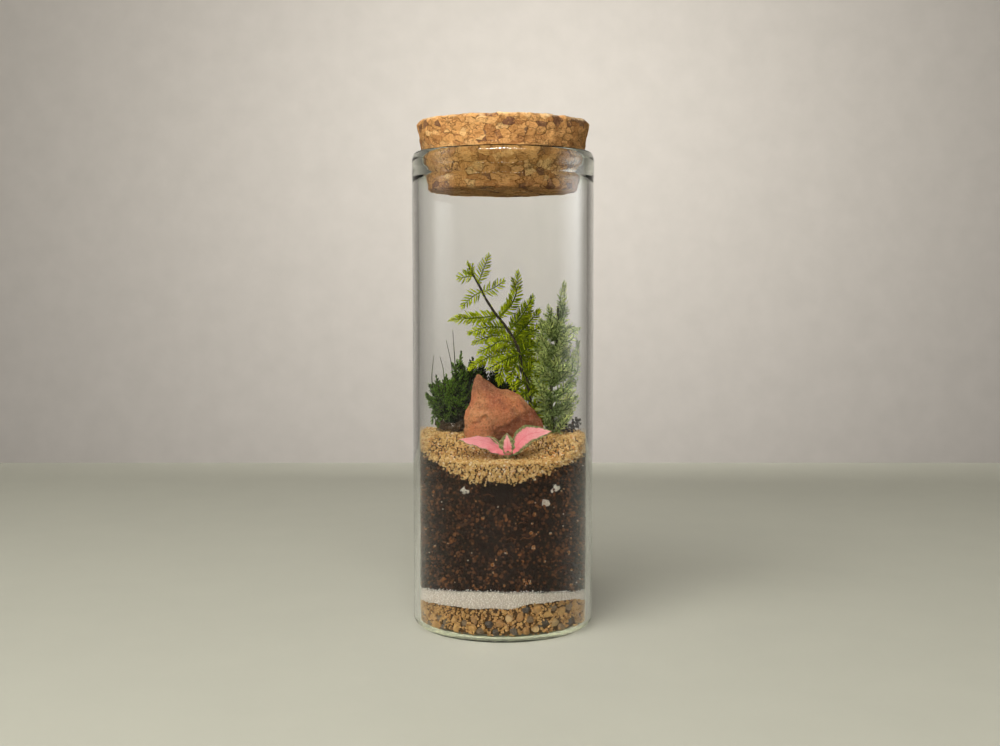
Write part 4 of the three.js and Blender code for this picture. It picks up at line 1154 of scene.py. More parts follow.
MOSS_LEADERS = [
    [[-13, 5.4, 60], [-12.6, 5, 64.5], [-12.2, 4.8, 68.6]],
    [[-10, 7.4, 61], [-9.6, 6.8, 65], [-9, 6.4, 67.4]],
    [[-12, 6, 60], [-11.6, 5.6, 64], [-10.6, 5.4, 66.8]],
    [[-14.4, 4, 59], [-14.6, 3.2, 62.4], [-15, 2.8, 64.8]],
    [[-16.6, 3, 58], [-17.6, 2.4, 60.6], [-18.2, 2, 62.2]],
    [[-17, 3.4, 56], [-18.4, 3, 54.6], [-19, 2.8, 52.4]],
    [[-16.4, 2.6, 55.6], [-17.2, 1.6, 53.6], [-17, 1.2, 51.6]],
    [[-11.4, 8.4, 61], [-11.4, 8, 66], [-11.3, 7.6, 70.6]],
    [[-8.6, 10, 62], [-8.4, 10, 66], [-8.2, 9.8, 69]],
]

# Heaps of loose dark crumbs: centre and radii
MOSS_CRUMBS = [
    ([-12.6, 0.4, 51.2], [2.4, 1.5, 1.1]),
    ([-15.2, 1.2, 51.6], [1.6, 1.3, 0.9]),
    ([-11.2, 2.4, 51.8], [1.8, 1.6, 1.3]),
    ([-16.8, 2.6, 52], [1.3, 1.2, 0.9]),
    ([-9.8, 4.6, 52], [2, 1.6, 1.4]),
]
ROOT_CRUMBS = [
    ([14.2, 1.6, 51.2], [3.6, 2.6, 1.2]),
    ([18.4, 1.2, 51.2], [2.6, 2.2, 1.1]),
    ([19.4, 1.2, 52.6], [1.6, 1.4, 1.2]),
]


def fuller(paths, copies, spread, rng):
    """Every path with copies beside it, each turned a little, as the real sprays overlap in depth."""
    result = []
    for path in paths:
        path = np.array(path, float)
        result.append(path)
        for _ in range(copies):
            drift = (rng.random((len(path), 3)) - 0.5) * spread * [1.1, 2.2, 1.4]
            drift[0] *= 0.25
            length = np.linspace(1, 0.72 + 0.3 * rng.random(), len(path))[:, None]
            result.append(path[0] + (path - path[0]) * length + drift)
    return result


def above_ground(points):
    """Lifts what would dip under the sand."""
    floor = golden_sand_top(points[:, 0], points[:, 1]) + 0.2
    low = points[:, 2] < floor
    points[low, 2] = floor[low]
    return points


def settle(piece):
    """Keeps a plant inside the glass and, above its roots, out of the sand."""
    points = inside_glass(coordinates(piece))
    rooted = points[:, 2] < ROOTS_END
    move_to(piece, np.where(rooted[:, None], points, above_ground(points.copy())))
    return piece


def tall_frond_mesh(needle, material):
    rng = np.random.default_rng(TALL_SEED)
    open_sprays = [np.array(path, float) for path in TALL_SPRAYS[:4]]
    sprays = open_sprays + fuller(TALL_SPRAYS[4:] + TALL_LOW_SPRAYS, 1, 1.5, rng)
    side_on = grow_shoots("frond_sprays", sprays, 0.6, material, seed=3, facing=(0.12, -1, 0.1),
                          spacing=0.38, length=needle, width=0.46, lean=0.98, turn=TWO_ROWS, bark=0.12)
    top = grow_shoots("frond_tuft", TALL_TUFT, 0.6, material, seed=4, spacing=0.22, length=1.5, width=0.4,
                      lean=0.8, bark=0.5)
    stem = grow_shoots("frond_stem", [TALL_STEM], 1.6, material, seed=5, spacing=1.5, length=1.3,
                       width=0.4, lean=0.9, bark=1.0)
    return settle(join_pieces("tall_feathery_frond", [side_on, top, stem]))


def side_paths():
    """Shoots of the bush at the right, by the reach that it has at each height."""
    paths = [np.array(path, float) for path in SIDE_SHOOTS]
    for level, (height, left, right) in enumerate(SIDE_REACH):
        for hand, reach in enumerate((left, right)):
            for row, (middle_depth, spread) in enumerate(((-2.6, 0.72), (2.2, 1))):
                start = height - 4.2 + row * 1.6
                depth = middle_depth + 0.7 * math.sin(level * 2.1 + hand)
                paths.append(np.array([
                    [13.1, 1.8, start],
                    [13.1 + reach * spread * 0.55, 1.8 + depth * 0.6, start + 1.9],
                    [13.1 + reach * spread, 1.8 + depth, height + row],
                ]))
    return paths


def beside_stone(piece):
    """Bends what would touch the stone's right end back beside it."""
    points = coordinates(piece)
    x, y, z = points.T
    near = (x < STONE_RIGHT) & (y < 3.5) & (z > ROOTS_END) & (z < 59)
    points[near, 0] = STONE_RIGHT + 0.12 * (x[near] - STONE_RIGHT)
    move_to(piece, points)


def side_frond_mesh(needle, material):
    paths = fuller(side_paths(), 3, 2.8, np.random.default_rng(SIDE_SEED))
    bush = grow_shoots("bush_shoots", paths, 0.55, material, seed=9, spacing=0.24, length=needle,
                       width=0.32, lean=0.95)
    stem = grow_shoots("bush_stem", [SIDE_STEM], 1.6, material, seed=10, spacing=0.6, length=1.6,
                       width=0.3, lean=0.8, bark=0.9)
    piece = settle(join_pieces("side_bushy_frond", [bush, stem]))
    beside_stone(piece)
    crumbs = crumbled("root_crumbs", ROOT_CRUMBS, 0.36, 34, material, ROOT_CRUMB_SEED)
    return join_pieces("side_bushy_frond", [piece, crumbs])


def moss_paths():
    """Shoots spread over the upper part of each clump, and the longer ones that stand out."""
    golden = math.pi * (3 - math.sqrt(5))
    rng = np.random.default_rng(MOSS_SEED)
    paths = []
    for core, (centre, radii, count) in enumerate(MOSS_CORES):
        for i in range(count):
            rise = 0.95 - 1.3 * (i + 0.5) / count
            flat, turn = math.sqrt(1 - rise * rise), i * golden + core
            way = np.array([flat * math.cos(turn), flat * math.sin(turn), rise])
            root = np.array(centre) + way * radii * (0.55 + 0.2 * rng.random())
            tip = root + way * (2.6 + 2.0 * rng.random() ** 2) + [0, 0, 0.8 + 1.6 * rng.random()]
            paths.append(np.array([root, (root + tip) / 2 - [0, 0, 0.4], tip]))
    return paths + MOSS_LEADERS


def moss_mesh(leaf, material):
    leafy = grow_shoots("moss_sprigs", moss_paths(), 0.6, material, seed=14, spacing=0.2, length=leaf,
                        width=0.42, lean=0.75)
    stalks = grow_shoots("moss_stalks", MOSS_STALKS, 0.42, material, seed=15, spacing=3.2, length=0.5,
                         width=0.2, lean=0.5)
    # The core lumps have no tone, so they take the darkest moss colours: painted shade deep inside the
    # cushion.
    core = lumps("moss_core", [(centre, np.array(radii) * 0.8) for centre, radii, _ in MOSS_CORES], 3, 0.3)
    core.data.materials.append(material)
    crumbs = crumbled("moss_crumbs", MOSS_CRUMBS, 0.42, 44, material, MOSS_CRUMB_SEED)
    return settle(join_pieces("moss_tuft", [leafy, stalks, core, crumbs]))


def crumbled(name, heaps, size, count, material, seed):
    """Heaps of small dark crumbs, each from a centre and three radii in millimetres."""
    rng = np.random.default_rng(seed)
    places = []
    for centre, radii in heaps:
        way = rng.normal(size=(count, 3))
        way /= np.linalg.norm(way, axis=1)[:, None]
        places.append(np.array(centre) + way * radii * (rng.random(count) ** 0.3)[:, None])
    places = np.vstack(places)
    radii = size * (0.4 + rng.random(len(places)))
    piece = grains(name, places, radii, np.ones(len(places)), material, 1, 1.4)
    store_values(piece, "woody", np.ones(len(piece.data.vertices)))
    return piece


def lumps(name, list_of_lumps, detail, relief, shift=0):
    """Rounded lumps, each from a centre and three radii in millimetres, roughened by noise."""
    parts = []
    for number, (centre, radii) in enumerate(list_of_lumps):
        bpy.ops.mesh.primitive_ico_sphere_add(subdivisions=detail, radius=MM)
        part = bpy.context.object
        points = coordinates(part)
        for k, spot in enumerate(points):
            sample = Vector(spot) * 1.4 + Vector((number * 3.1 + shift, 0, 0))
            push = 1 + relief * noise.fractal(sample, 0.8, 2.0, 3)
            points[k] = np.array(centre) + spot * push * radii
        move_to(part, points)
        part.data.shade_smooth()
        parts.append(part)
    return join_pieces(name, parts)


# The layers

PEBBLE_TRIES = 5200
PEBBLE_TONES = [0.3, 0.42, 0.56, 0.66, 0.7, 0.78, 0.86, 0.98]
SEED_RADIUS = 21.2
FIBRE_RADIUS = 21.62
CRUMB_LIMIT = 21.75

# Crumbs of perlite: degrees round the jar, height and radius
PERLITE = [(244, 37.9, 1.1), (307, 38, 1.5), (299, 34.6, 1.2), (345, 28.8, 1.0)]

# Colours of the grains, by their tone
GRAVEL_TONES = [
    (0.0, (136, 98, 50)), (0.18, (190, 142, 80)), (0.4, (228, 184, 116)), (0.56, (206, 156, 92)),
    (0.66, (156, 132, 100)), (0.78, (112, 100, 84)), (0.88, (88, 83, 76)), (1.0, (240, 204, 146)),
]
WHITE_SAND_TONES = [
    (0.0, (216, 202, 188)), (0.4, (240, 230, 216)), (0.8, (248, 240, 230)), (1.0, (254, 250, 244)),
]
SOIL_TONES = [
    (0.0, (16, 7, 3)), (0.22, (48, 27, 15)), (0.45, (82, 50, 30)), (0.66, (112, 72, 44)),
    (0.86, (134, 84, 48)), (0.93, (170, 100, 48)), (0.965, (190, 146, 86)), (1.0, (240, 230, 210)),
]
GOLDEN_TONES = [
    (0.0, (128, 86, 36)), (0.1, (176, 130, 66)), (0.3, (206, 164, 94)), (0.55, (224, 186, 118)),
    (0.82, (238, 208, 148)), (0.93, (208, 142, 68)), (1.0, (250, 234, 200)),
]


def moved(surface, rise):
    """A surface raised by some millimetres."""
    return lambda x, y: surface(x, y) + rise


def gravel_mesh(pebble):
    """Coarse tan sand with pebbles pressed against the glass."""
    rng = np.random.default_rng(GRAVEL_SEED)
    material = grain_finish("gravel", GRAVEL_TONES, speck=0.5, shadow=(92, 64, 32), vary=0.12)
    bed = bed_mesh("gravel_bed", jar_floor, gravel_top, 20.9, 0.3, 3, 110, 1.2)
    points = coordinates(bed)
    points[:, 2] = np.maximum(points[:, 2], FLOOR + 0.85)
    move_to(bed, points)
    pebbles, radii, tones = packed_pebbles(pebble, rng)
    sand = wall_places(lambda x, y: FLOOR + 0.6, moved(gravel_top, -0.2), 0.6, rng)
    faces = pebbles.copy()
    faces[:, :2] *= (FILL_RADIUS / reach_of(pebbles))[:, None]
    clear = np.array([np.min(np.linalg.norm(faces - spot, axis=1) - radii * 0.92) > 0 for spot in sand])
    chance = np.clip((sand[:, 2] - 0.8) / 2.6, 0.4, 1)
    sand = sand[clear & (rng.random(len(sand)) < chance)]
    sand_radii = 0.25 + 0.26 * rng.random(len(sand)) ** 2
    sand_tones = 0.06 + 0.54 * rng.random(len(sand))
    batches = [(pebbles, radii, tones, 3, 0.7), (sand, sand_radii, sand_tones, 1, 1.2)]
    return inside_corner(grain_bed("gravel_and_pebbles", bed, batches, material))


def packed_pebbles(pebble, rng):
    """Pebbles packed at random against the glass, more and bigger to the front right and low down."""
    places, radii, tones = [], [], []
    for _ in range(PEBBLE_TRIES):
        angle = rng.random() * 2 * math.pi
        right = 0.5 + 0.5 * math.cos(angle + 0.6)
        radius = pebble * (0.62 + 0.5 * rng.random() + 0.34 * right)
        x, y = math.cos(angle) * (INNER_RADIUS - radius), math.sin(angle) * (INNER_RADIUS - radius)
        top = min(float(gravel_top(x, y)) - 0.3, FLOOR + 4.0 + 6.0 * right ** 3)
        base = FLOOR + 0.4
        z = base + radius * 0.8 + rng.random() * max(0.2, top - base - radius * 1.6)
        spot = np.array([x, y, z])
        gaps = np.linalg.norm(np.array(places) - spot, axis=1) - np.array(radii) if places else [radius]
        if np.min(gaps) < radius * 0.86:
            continue
        places.append(spot)
        radii.append(radius)
        tones.append(rng.choice(PEBBLE_TONES) + 0.03 * rng.random())
    return np.array(places), np.array(radii), np.array(tones)


def inside_corner(piece):
    """Keeps the lowest grains clear of the rounded foot of the glass."""
    points = coordinates(piece)
    reach = reach_of(points)
    points[:, 2] = np.maximum(points[:, 2], jar_floor(points[:, 0], points[:, 1]) + 0.15)
    rise = np.clip((FLOOR + 1.3 - points[:, 2]) / 1.1, 0, 1)
    limit = INNER_RADIUS - 0.1 - PUNT * rise ** 2
    move_to(piece, drawn_in(points, np.where(reach > limit, limit / np.maximum(reach, 1e-6), 1)))
    return piece


def white_sand_mesh(grain):
    rng = np.random.default_rng(WHITE_SAND_SEED)
    material = grain_finish("white_sand", WHITE_SAND_TONES, speck=0.45, shadow=(206, 194, 178), vary=0.6)
    bed = bed_mesh("white_bed", moved(gravel_top, -0.2), white_sand_top, 21.5, 0.12, 5, 260, 0.42)
    places = wall_places(moved(gravel_top, -0.1), moved(white_sand_top, 0.25), 0.42, rng)
    radii = grain * (0.55 + 0.5 * rng.random(len(places)))
    batch = (places, radii, 0.3 + 0.7 * rng.random(len(places)), 1, 0.7)
    return grain_bed("fine_white_sand", bed, [batch], material)


def soil_mesh(crumb):
    """Dark crumbs in lighter and darker clusters, with rare bark-red and white ones, seeds and fibres."""
    rng = np.random.default_rng(SOIL_SEED)
    material = grain_finish("dark_soil", SOIL_TONES, 0.9, 0.4, 0.15, (30, 17, 9), 0.5)
    bed = bed_mesh("soil_bed", moved(white_sand_top, -0.1), soil_top, 21.2, 0.5, 7, 150, 0.9)
    places = wall_places(moved(white_sand_top, 0.2), moved(soil_top, 0.2), 0.765, rng)
    crumbs = np.array([perlite_place(*crumb_size) for crumb_size in PERLITE])
    room = np.array([radius for _, _, radius in PERLITE]) + 0.1
    clear = np.array([np.min(np.linalg.norm(crumbs - spot, axis=1) - room) > 0 for spot in places])
    places = places[clear]
    cluster = np.array([noise.fractal(Vector(spot) * 0.22, 0.8, 2.0, 3) for spot in places])
    # The crumbs are darker in a patch at the front, just below the top of the soil.
    hollow = np.linalg.norm((places - [-0.5, -21.5, 37.5]) * [0.16, 0.1, 0.3], axis=1)
    radii = crumb * (0.5 + 0.9 * rng.random(len(places)) ** 2)
    tones = rng.random(len(places)) ** 1.3 * 0.75 + 0.3 * cluster
    tones = np.clip(tones - 0.55 * (1 - smooth_step(0.35, 1.25, hollow)), 0.03, 0.88)
    rare = rng.random(len(places))
    tones[rare > 0.975] = 0.93
    tones[rare > 0.993] = 1.0
    radii[rare > 0.993] = 0.2
    batches = [(places, radii, tones, 1, 1.3), seeds(rng), fibres(rng)]
    return grain_bed("dark_crumbly_soil", bed, batches, material)


def seeds(rng):
    """Round tan seeds against the glass, three of them where the photograph shows them."""
    angle = np.radians(np.append([250.0, 285.0, 288.0], rng.random(22) * 360))
    z = np.append([14.2, 14.4, 14.8], 13 + rng.random(22) * 24)
    places = np.c_[SEED_RADIUS * np.cos(angle), SEED_RADIUS * np.sin(angle), z]
    return places, np.full(len(places), 0.4), np.full(len(places), 0.952), 1, 0.9


def fibres(rng):
    """Short root fibres, each a row of tiny touching grains."""
    places = []
    for _ in range(46):
        angle, z = rng.random() * 2 * math.pi, 12 + rng.random() * 26
        slope, length = rng.random() * 2 - 1, 8 + int(rng.random() * 14)
        for k in range(length):
            angle += 0.0085
            z += 0.14 * slope + 0.12 * math.sin(k * 0.55 + slope * 4)
            places.append((FIBRE_RADIUS * math.cos(angle), FIBRE_RADIUS * math.sin(angle), z))
    places = np.array(places)
    places = places[places[:, 2] < soil_top(places[:, 0], places[:, 1]) - 0.5]
    return places, np.full(len(places), 0.11), np.full(len(places), 0.8), 1, 0.2


def perlite_place(degrees, height, radius):
    reach = FILL_RADIUS - radius * 0.95
    angle = math.radians(degrees)
    return [reach * math.cos(angle), reach * math.sin(angle), height]


def perlite_mesh(number):
    """A rough white crumb, pressed flat by the glass."""
    radius = PERLITE[number - 1][2]
    lump = (perlite_place(*PERLITE[number - 1]), [radius * 1.02, radius * 1.02, radius * 0.95])
    piece = lumps(f"perlite_crumb_{number}", [lump], 4, 0.34, number * 5)
    points = coordinates(piece)
    reach = reach_of(points)
    move_to(piece, drawn_in(points, np.where(reach > CRUMB_LIMIT, CRUMB_LIMIT / reach, 1)))
    return piece


def golden_sand_mesh(grain):
    """Golden grains on the bank and against the glass, and strays that trickle into the soil."""
    rng = np.random.default_rng(GOLDEN_SAND_SEED)
    material = grain_finish("golden_sand", GOLDEN_TONES, 0.6, 0.6, 0.45, (78, 48, 20), 0.1)
    bed = bed_mesh("golden_bed", soil_top, golden_sand_top, 21.1, 0.3, 9, 150, 0.8)
    wall = wall_places(moved(soil_top, 0.1), moved(golden_sand_top, 0.1), grain * 1.4, rng)
    top = top_places(moved(golden_sand_top, -0.12), grain * 1.62, rng)
    strays = wall_places(moved(soil_top, -1.2), moved(soil_top, 0.2), grain * 1.7, rng)
    x, y, z = strays.T
    depth = soil_top(x, y) - z
    clumped = 0.5 + 0.5 * np.sin(np.arctan2(y, x) * 31) * np.sin(x * 2.1)
    chance = (1 - np.clip(depth / 1.2, 0, 1)) ** 1.5 * (0.35 + 0.8 * clumped)
    strays = strays[rng.random(len(strays)) < chance]
    batches = []
    for places in (wall, top, strays):
        radii = grain * (0.62 + 0.75 * rng.random(len(places)))
        batches.append((places, radii, 0.03 + 0.97 * rng.random(len(places)) ** 0.9, 1, 0.8))
    return grain_bed("loose_golden_sand", bed, batches, material)


def cutting_mesh():
    """The blades of the cutting on their short stem, which is olive like the margins."""
    leaves = [leaf_mesh(*leaf) for leaf in LEAVES]
    stem = turned("cutting_stem", filleted(CUTTING_STEM, 0.2), 20)
    points = coordinates(stem)
    move_to(stem, points + CUTTING_PLACE)
    for key, value in (("along", 0.5), ("across", 0.5), ("margin", 1.0)):
        store_values(stem, key, np.full(len(points), value))
    return join_pieces("pink_leaved_plant", leaves + [stem])


# What a user may change


def amount(name, description, default, least=0.0, **settings):
    settings.update(name=name, description=description, default=default, min=least)
    return bpy.props.FloatProperty(**settings)


def millimetres(name, description, default, least, most):
    return amount(name, description, default, least, max=most)


def power(name, description, default):
    return amount(name, description, default, unit="POWER")


def colour(name, description, default):
    return bpy.props.FloatVectorProperty(name=name, description=description, default=default,
                                         subtype="COLOR", size=4, min=0, max=1)


class TerrariumSizes(bpy.types.PropertyGroup):
    """Sizes of the repeated forms, in millimetres."""

    golden_grain: millimetres("Golden grain", "Radius of a grain of golden sand", 0.36, 0.2, 1.0)
    soil_crumb: millimetres("Soil crumb", "Radius of a crumb of soil", 0.46, 0.2, 1.2)
    white_grain: millimetres("White grain", "Radius of a grain of white sand", 0.2, 0.1, 0.6)
    pebble: millimetres("Pebble", "Mean radius of a pebble in the gravel", 1.15, 0.5, 2.0)
    tall_needle: millimetres("Tall frond needle", "Length of a needle of the tall frond", 2.7, 1.0, 4.0)
    side_needle: millimetres("Side frond needle", "Length of a needle of the side frond", 2.0, 1.0, 4.0)
    moss_leaf: millimetres("Moss leaf", "Length of a leaf of the moss", 1.5, 0.5, 3.0)


class TerrariumStudio(bpy.types.PropertyGroup):
    """Colours and strengths of the plain studio round the jar."""

    floor: colour("Floor", "Colour of the floor", tint(176, 174, 158))
    wall: colour("Wall", "Colour of the backdrop", tint(214, 206, 195))
    key: power("Key light", "Power of the soft light overhead", 4.0)
    fill: power("Fill light", "Power of the soft light in front", 3.6)
    wash: power("Backdrop wash", "Power of the light on the backdrop", 2.2)
    window: power("Windows", "Power of the windows that the glass mirrors", 0.9)
    strip: power("Strip light", "Power of the narrow lamp that the rim mirrors", 13.0)
    room_front: amount("Room in front", "Brightness behind the camera", 0.05)
    room_back: amount("Room behind", "Brightness behind and above the jar", 0.3)
    room_side: amount("Room at the sides", "Brightness far to the left and right", 0.3)


# The studio, in metres

STAGE_HALF = 2.5
FLOOR_BACK = 0.306
BACKDROP_Y = 0.9
BACKDROP_HEIGHTS = (-1.2, 1.8)
CAMERA_PLACE = (-0.000781, -0.3424, 0.08897)
CAMERA_TILT = 86.1
CAMERA_LENS = 47.34
CAMERA_SENSOR = 36
WINDOW_GLOW = 2.4


def floor_corners():
    half = STAGE_HALF
    return [(-half, -half, 0), (half, -half, 0), (half, FLOOR_BACK, 0), (-half, FLOOR_BACK, 0)]


def backdrop_corners():
    low, high = BACKDROP_HEIGHTS
    return [(x, BACKDROP_Y, z) for x, z in ((-STAGE_HALF, low), (STAGE_HALF, low), (STAGE_HALF, high),
                                            (-STAGE_HALF, high))]


def stage_panel(name, corners, shade):
    """A plain sheet with faint blotches."""
    piece = mesh_object(name, np.array(corners) / MM, [(0, 1, 2, 3)])
    s = Shader(name)
    s.set(Base_Color=s.mix(s.span(s.clouds(22, 5), 0.3, 0.7, 0.0, 0.1), tuple(shade), tint(150, 148, 136)))
    s.set(Roughness=0.6, Specular_IOR_Level=0.3)
    piece.data.materials.append(s.material)


def lamp(name, place, aim, size, watts):
    """A soft rectangular lamp that neither the camera nor the glass sees."""
    source = bpy.data.lights.new(name, "AREA")
    source.shape = "RECTANGLE"
    source.size, source.size_y = size
    source.energy = watts
    piece = bpy.data.objects.new(name, source)
    bpy.context.scene.collection.objects.link(piece)
    piece.location = place
    piece.rotation_euler = (Vector(aim) - Vector(place)).to_track_quat("-Z", "Y").to_euler()
    piece.visible_camera = False
    piece.visible_transmission = False
    piece.visible_glossy = False
    return piece


def window(name, place, aim_height, size, watts):
    """A lamp with soft edges that only the glass mirrors."""
    piece = lamp(name, place, (0, 0, aim_height), size, watts)
    piece.visible_glossy = True
    piece.visible_transmission = True
    piece.visible_diffuse = False
    piece.data.use_nodes = True
    t = NodeMaker(piece.data.node_tree)
    across, up, _ = t.axes(t.add("ShaderNodeNewGeometry", {}).outputs["Parametric"])

    def soft(value):
        return t.span(t.math("PINGPONG", value, 0.5), 0.0, 0.42, interpolation_type="SMOOTHSTEP")

    depth = t.add("ShaderNodeLightPath", {}).outputs["Glossy Depth"]
    mirrored = t.product(t.math("GREATER_THAN", depth, 0.5), WINDOW_GLOW)
    t.put(t.tree.nodes["Emission"].inputs["Strength"], t.product(soft(across), soft(up), mirrored))


def room():
    """A room with pale windows far to the left and right, dim behind the camera."""
    world = bpy.data.worlds.new("soft_room")
    world.use_nodes = True
    t = NodeMaker(world.node_tree)
    x, y, z = t.axes(t.add("ShaderNodeTexCoord", {}).outputs["Generated"])

    def rise(value, low, high, start, end):
        return t.span(value, low, high, start, end, interpolation_type="SMOOTHSTEP")

    depth = rise(y, -0.7, 0.6, studio().room_front, studio().room_back)
    level = t.math("MAXIMUM", depth, rise(z, 0.3, 0.9, 0.0, studio().room_back))
    windows = rise(t.math("ABSOLUTE", x), 0.88, 0.97, 0.0, studio().room_side)
    sky = t.tree.nodes["Background"].inputs
    t.put(sky["Color"], tint(222, 220, 214))
    t.put(sky["Strength"], t.math("ADD", level, windows))
    return world


def camera():
    """The camera at the photograph's angle."""
    lens = bpy.data.cameras.new("view_camera")
    lens.lens = CAMERA_LENS
    lens.sensor_width = CAMERA_SENSOR
    lens.clip_start = 0.01
    lens.clip_end = 20
    piece = bpy.data.objects.new("view_camera", lens)
    bpy.context.scene.collection.objects.link(piece)
    piece.location = CAMERA_PLACE
    piece.rotation_euler = (math.radians(CAMERA_TILT), 0, 0)
    return piece


# Operators


def sizes():
    return bpy.context.scene.terrarium_sizes


def studio():
    return bpy.context.scene.terrarium_studio


class TERRARIUM_OT_jar(bpy.types.Operator):
    """Blow the clear glass jar round the planting"""

    bl_idname = "terrarium.jar"
    bl_label = "Glass jar"

    def execute(self, context):
        finish_piece(jar_mesh(), glass_finish(), "glass", "glass_jar")
        return {"FINISHED"}


class TERRARIUM_OT_cork(bpy.types.Operator):
    """Press the granulated stopper into the mouth of the jar"""

    bl_idname = "terrarium.cork"
    bl_label = "Cork stopper"

    def execute(self, context):
        finish_piece(cork_mesh(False), cork_finish(), "cork", "cork_stopper")
        return {"FINISHED"}


class TERRARIUM_OT_gravel(bpy.types.Operator):
    """Lay the coarse tan sand and the pebbles pressed against the glass"""

    bl_idname = "terrarium.gravel"
    bl_label = "Gravel layer"

    def execute(self, context):
        finish_piece(gravel_mesh(sizes().pebble), None, "gravel", "gravel_layer")
        return {"FINISHED"}


class TERRARIUM_OT_white_sand(bpy.types.Operator):
    """Lay the fine white sand over the gravel"""

    bl_idname = "terrarium.white_sand"
    bl_label = "White sand layer"

    def execute(self, context):
        finish_piece(white_sand_mesh(sizes().white_grain), None, "white_sand", "white_sand_layer")
        return {"FINISHED"}


class TERRARIUM_OT_soil(bpy.types.Operator):
    """Fill in the dark crumbly soil, with its seeds, fibres and white perlite"""

    bl_idname = "terrarium.soil"
    bl_label = "Soil and perlite"

    def execute(self, context):
        finish_piece(soil_mesh(sizes().soil_crumb), None, "soil", "soil_layer")
        chalk = perlite_finish()
        for number in range(1, len(PERLITE) + 1):
            finish_piece(perlite_mesh(number), chalk, "perlite", f"perlite_{number}")
        return {"FINISHED"}


class TERRARIUM_OT_golden_sand(bpy.types.Operator):
    """Pour the golden sand, whose lowest grains trickle into the soil along the glass"""

    bl_idname = "terrarium.golden_sand"
    bl_label = "Golden sand layer"

    def execute(self, context):
        piece = golden_sand_mesh(sizes().golden_grain)
        finish_piece(piece, None, "golden_sand", "golden_sand_layer")
        return {"FINISHED"}


class TERRARIUM_OT_stone(bpy.types.Operator):
    """Stand the sandstone wedge in the sand"""

    bl_idname = "terrarium.stone"
    bl_label = "Stone"

    def execute(self, context):
        finish_piece(stone_mesh(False), stone_finish(), "stone", "stone")
        return {"FINISHED"}


class TERRARIUM_OT_cutting(bpy.types.Operator):
    """Plant the pink-leaved cutting in front of the stone"""

    bl_idname = "terrarium.cutting"
    bl_label = "Pink-leaved cutting"

    def execute(self, context):
        finish_piece(cutting_mesh(), leaf_finish(), "pink_leaf", "pink_leaf_cutting")
        return {"FINISHED"}


class TERRARIUM_OT_tall_frond(bpy.types.Operator):
    """Plant the tall leaning frond behind the stone"""

    bl_idname = "terrarium.tall_frond"
    bl_label = "Tall frond"

    def execute(self, context):
        # Painted light on the left of the frond and painted shade towards its right.
        material = frond_finish("yellow_green_frond", (226, 236, 40), (184, 200, 22), (106, 124, 10),
                                (32, 26, 12), 0.5, 0.22, (-4, 10, 0.45))
        piece = tall_frond_mesh(sizes().tall_needle, material)
        finish_piece(piece, None, "yellow_green_leaf", "tall_frond")
        return {"FINISHED"}


class TERRARIUM_OT_side_frond(bpy.types.Operator):
    """Plant the upright bushy frond at the right"""

    bl_idname = "terrarium.side_frond"
    bl_label = "Side frond"

    def execute(self, context):
        material = frond_finish("blue_green_frond", (232, 238, 150), (184, 202, 118), (116, 136, 74),
                                (34, 26, 18), 0.4)
        piece = side_frond_mesh(sizes().side_needle, material)
        finish_piece(piece, None, "blue_green_leaf", "side_frond")
        return {"FINISHED"}


class TERRARIUM_OT_moss(bpy.types.Operator):
    """Tuck the dark moss against the left of the stone and behind it"""

    bl_idname = "terrarium.moss"
    bl_label = "Moss clump"

    def execute(self, context):
        # Painted light at the moss's far left and painted shade towards the stone.
        material = frond_finish("dark_moss", (104, 140, 40), (32, 50, 20), (8, 14, 6), (62, 44, 26), 0.15,
                                0.4, (-14, -8, 0.7))
        finish_piece(moss_mesh(sizes().moss_leaf, material), None, "moss", "moss_clump")
        return {"FINISHED"}


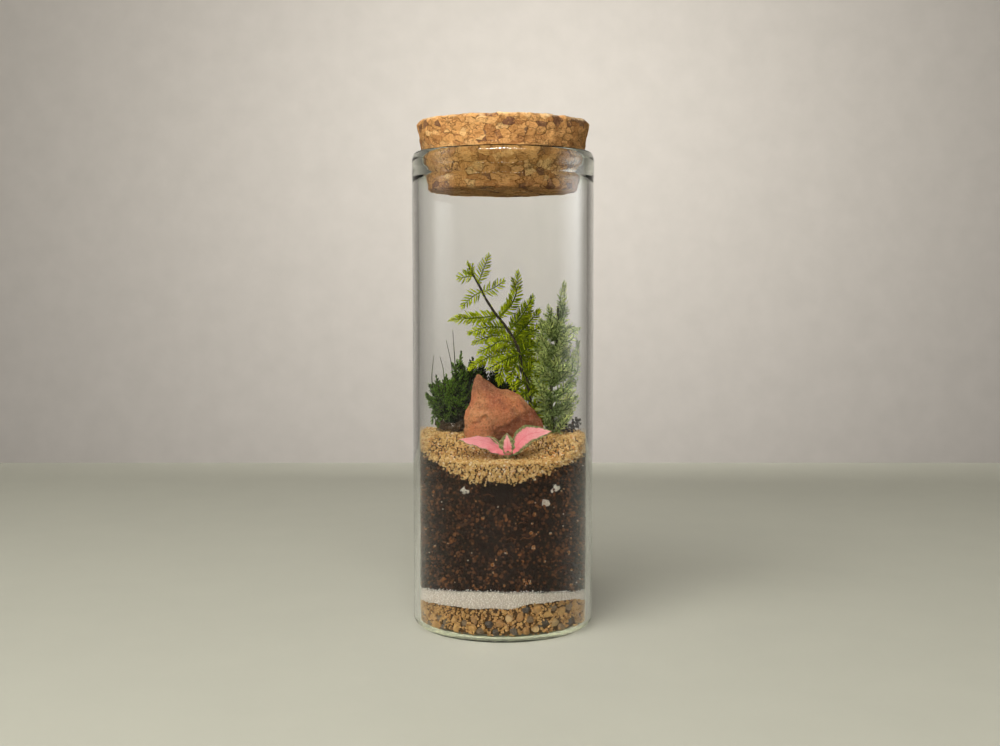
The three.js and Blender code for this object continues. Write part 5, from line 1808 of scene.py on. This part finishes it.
class TERRARIUM_OT_stage(bpy.types.Operator):
    """Set up the plain pale floor and backdrop, the soft lights and the camera"""

    bl_idname = "terrarium.stage"
    bl_label = "Studio and camera"

    def execute(self, context):
        stage_panel("pale_floor", floor_corners(), studio().floor)
        stage_panel("pale_backdrop", backdrop_corners(), studio().wall)
        lamp("key_overhead", (-0.12, -0.3, 0.55), (0, 0, 0.05), (0.5, 0.22), studio().key)
        lamp("fill_front", (-0.3, -0.7, 0.3), (0, 0, 0.06), (0.5, 0.5), studio().fill)
        lamp("backdrop_wash", (0.03, 0.42, 0.3), (0.05, BACKDROP_Y, 0.02), (0.3, 0.3), studio().wash)
        window("strip_overhead", (-0.03, -0.42, 0.48), 0.1, (0.62, 0.06), studio().strip)
        window("window_left", (-0.39, -0.07, 0.27), 0.27, (0.3, 0.36), studio().window * 0.6)
        window("window_right", (0.4, 0.04, 0.2), 0.2, (0.44, 0.44), studio().window)
        context.scene.world = room()
        context.scene.camera = camera()
        context.scene.view_settings.view_transform = "Standard"
        return {"FINISHED"}


OPERATORS = (
    TERRARIUM_OT_jar, TERRARIUM_OT_cork, TERRARIUM_OT_gravel, TERRARIUM_OT_white_sand, TERRARIUM_OT_soil,
    TERRARIUM_OT_golden_sand, TERRARIUM_OT_stone, TERRARIUM_OT_cutting, TERRARIUM_OT_tall_frond,
    TERRARIUM_OT_side_frond, TERRARIUM_OT_moss, TERRARIUM_OT_stage,
)


class TERRARIUM_PT_panel(bpy.types.Panel):
    """Lists the operators in the order in which they are used"""

    bl_idname = "TERRARIUM_PT_panel"
    bl_label = "Terrarium"
    bl_space_type = "VIEW_3D"
    bl_region_type = "UI"
    bl_category = "Terrarium"

    def draw(self, context):
        for group in (context.scene.terrarium_sizes, context.scene.terrarium_studio):
            for key in group.bl_rna.properties.keys():
                if key not in ("rna_type", "name"):
                    self.layout.prop(group, key)
        for operator in OPERATORS:
            self.layout.operator(operator.bl_idname)


CLASSES = (TerrariumSizes, TerrariumStudio, *OPERATORS, TERRARIUM_PT_panel)


def register():
    for item in CLASSES:
        bpy.utils.register_class(item)
    bpy.types.Scene.terrarium_sizes = bpy.props.PointerProperty(type=TerrariumSizes)
    bpy.types.Scene.terrarium_studio = bpy.props.PointerProperty(type=TerrariumStudio)


def unregister():
    del bpy.types.Scene.terrarium_sizes
    del bpy.types.Scene.terrarium_studio
    for item in reversed(CLASSES):
        bpy.utils.unregister_class(item)


def main():
    register()
    for operator in OPERATORS:
        group, name = operator.bl_idname.split(".")
        getattr(getattr(bpy.ops, group), name)()


if __name__ == "__main__":
    main()
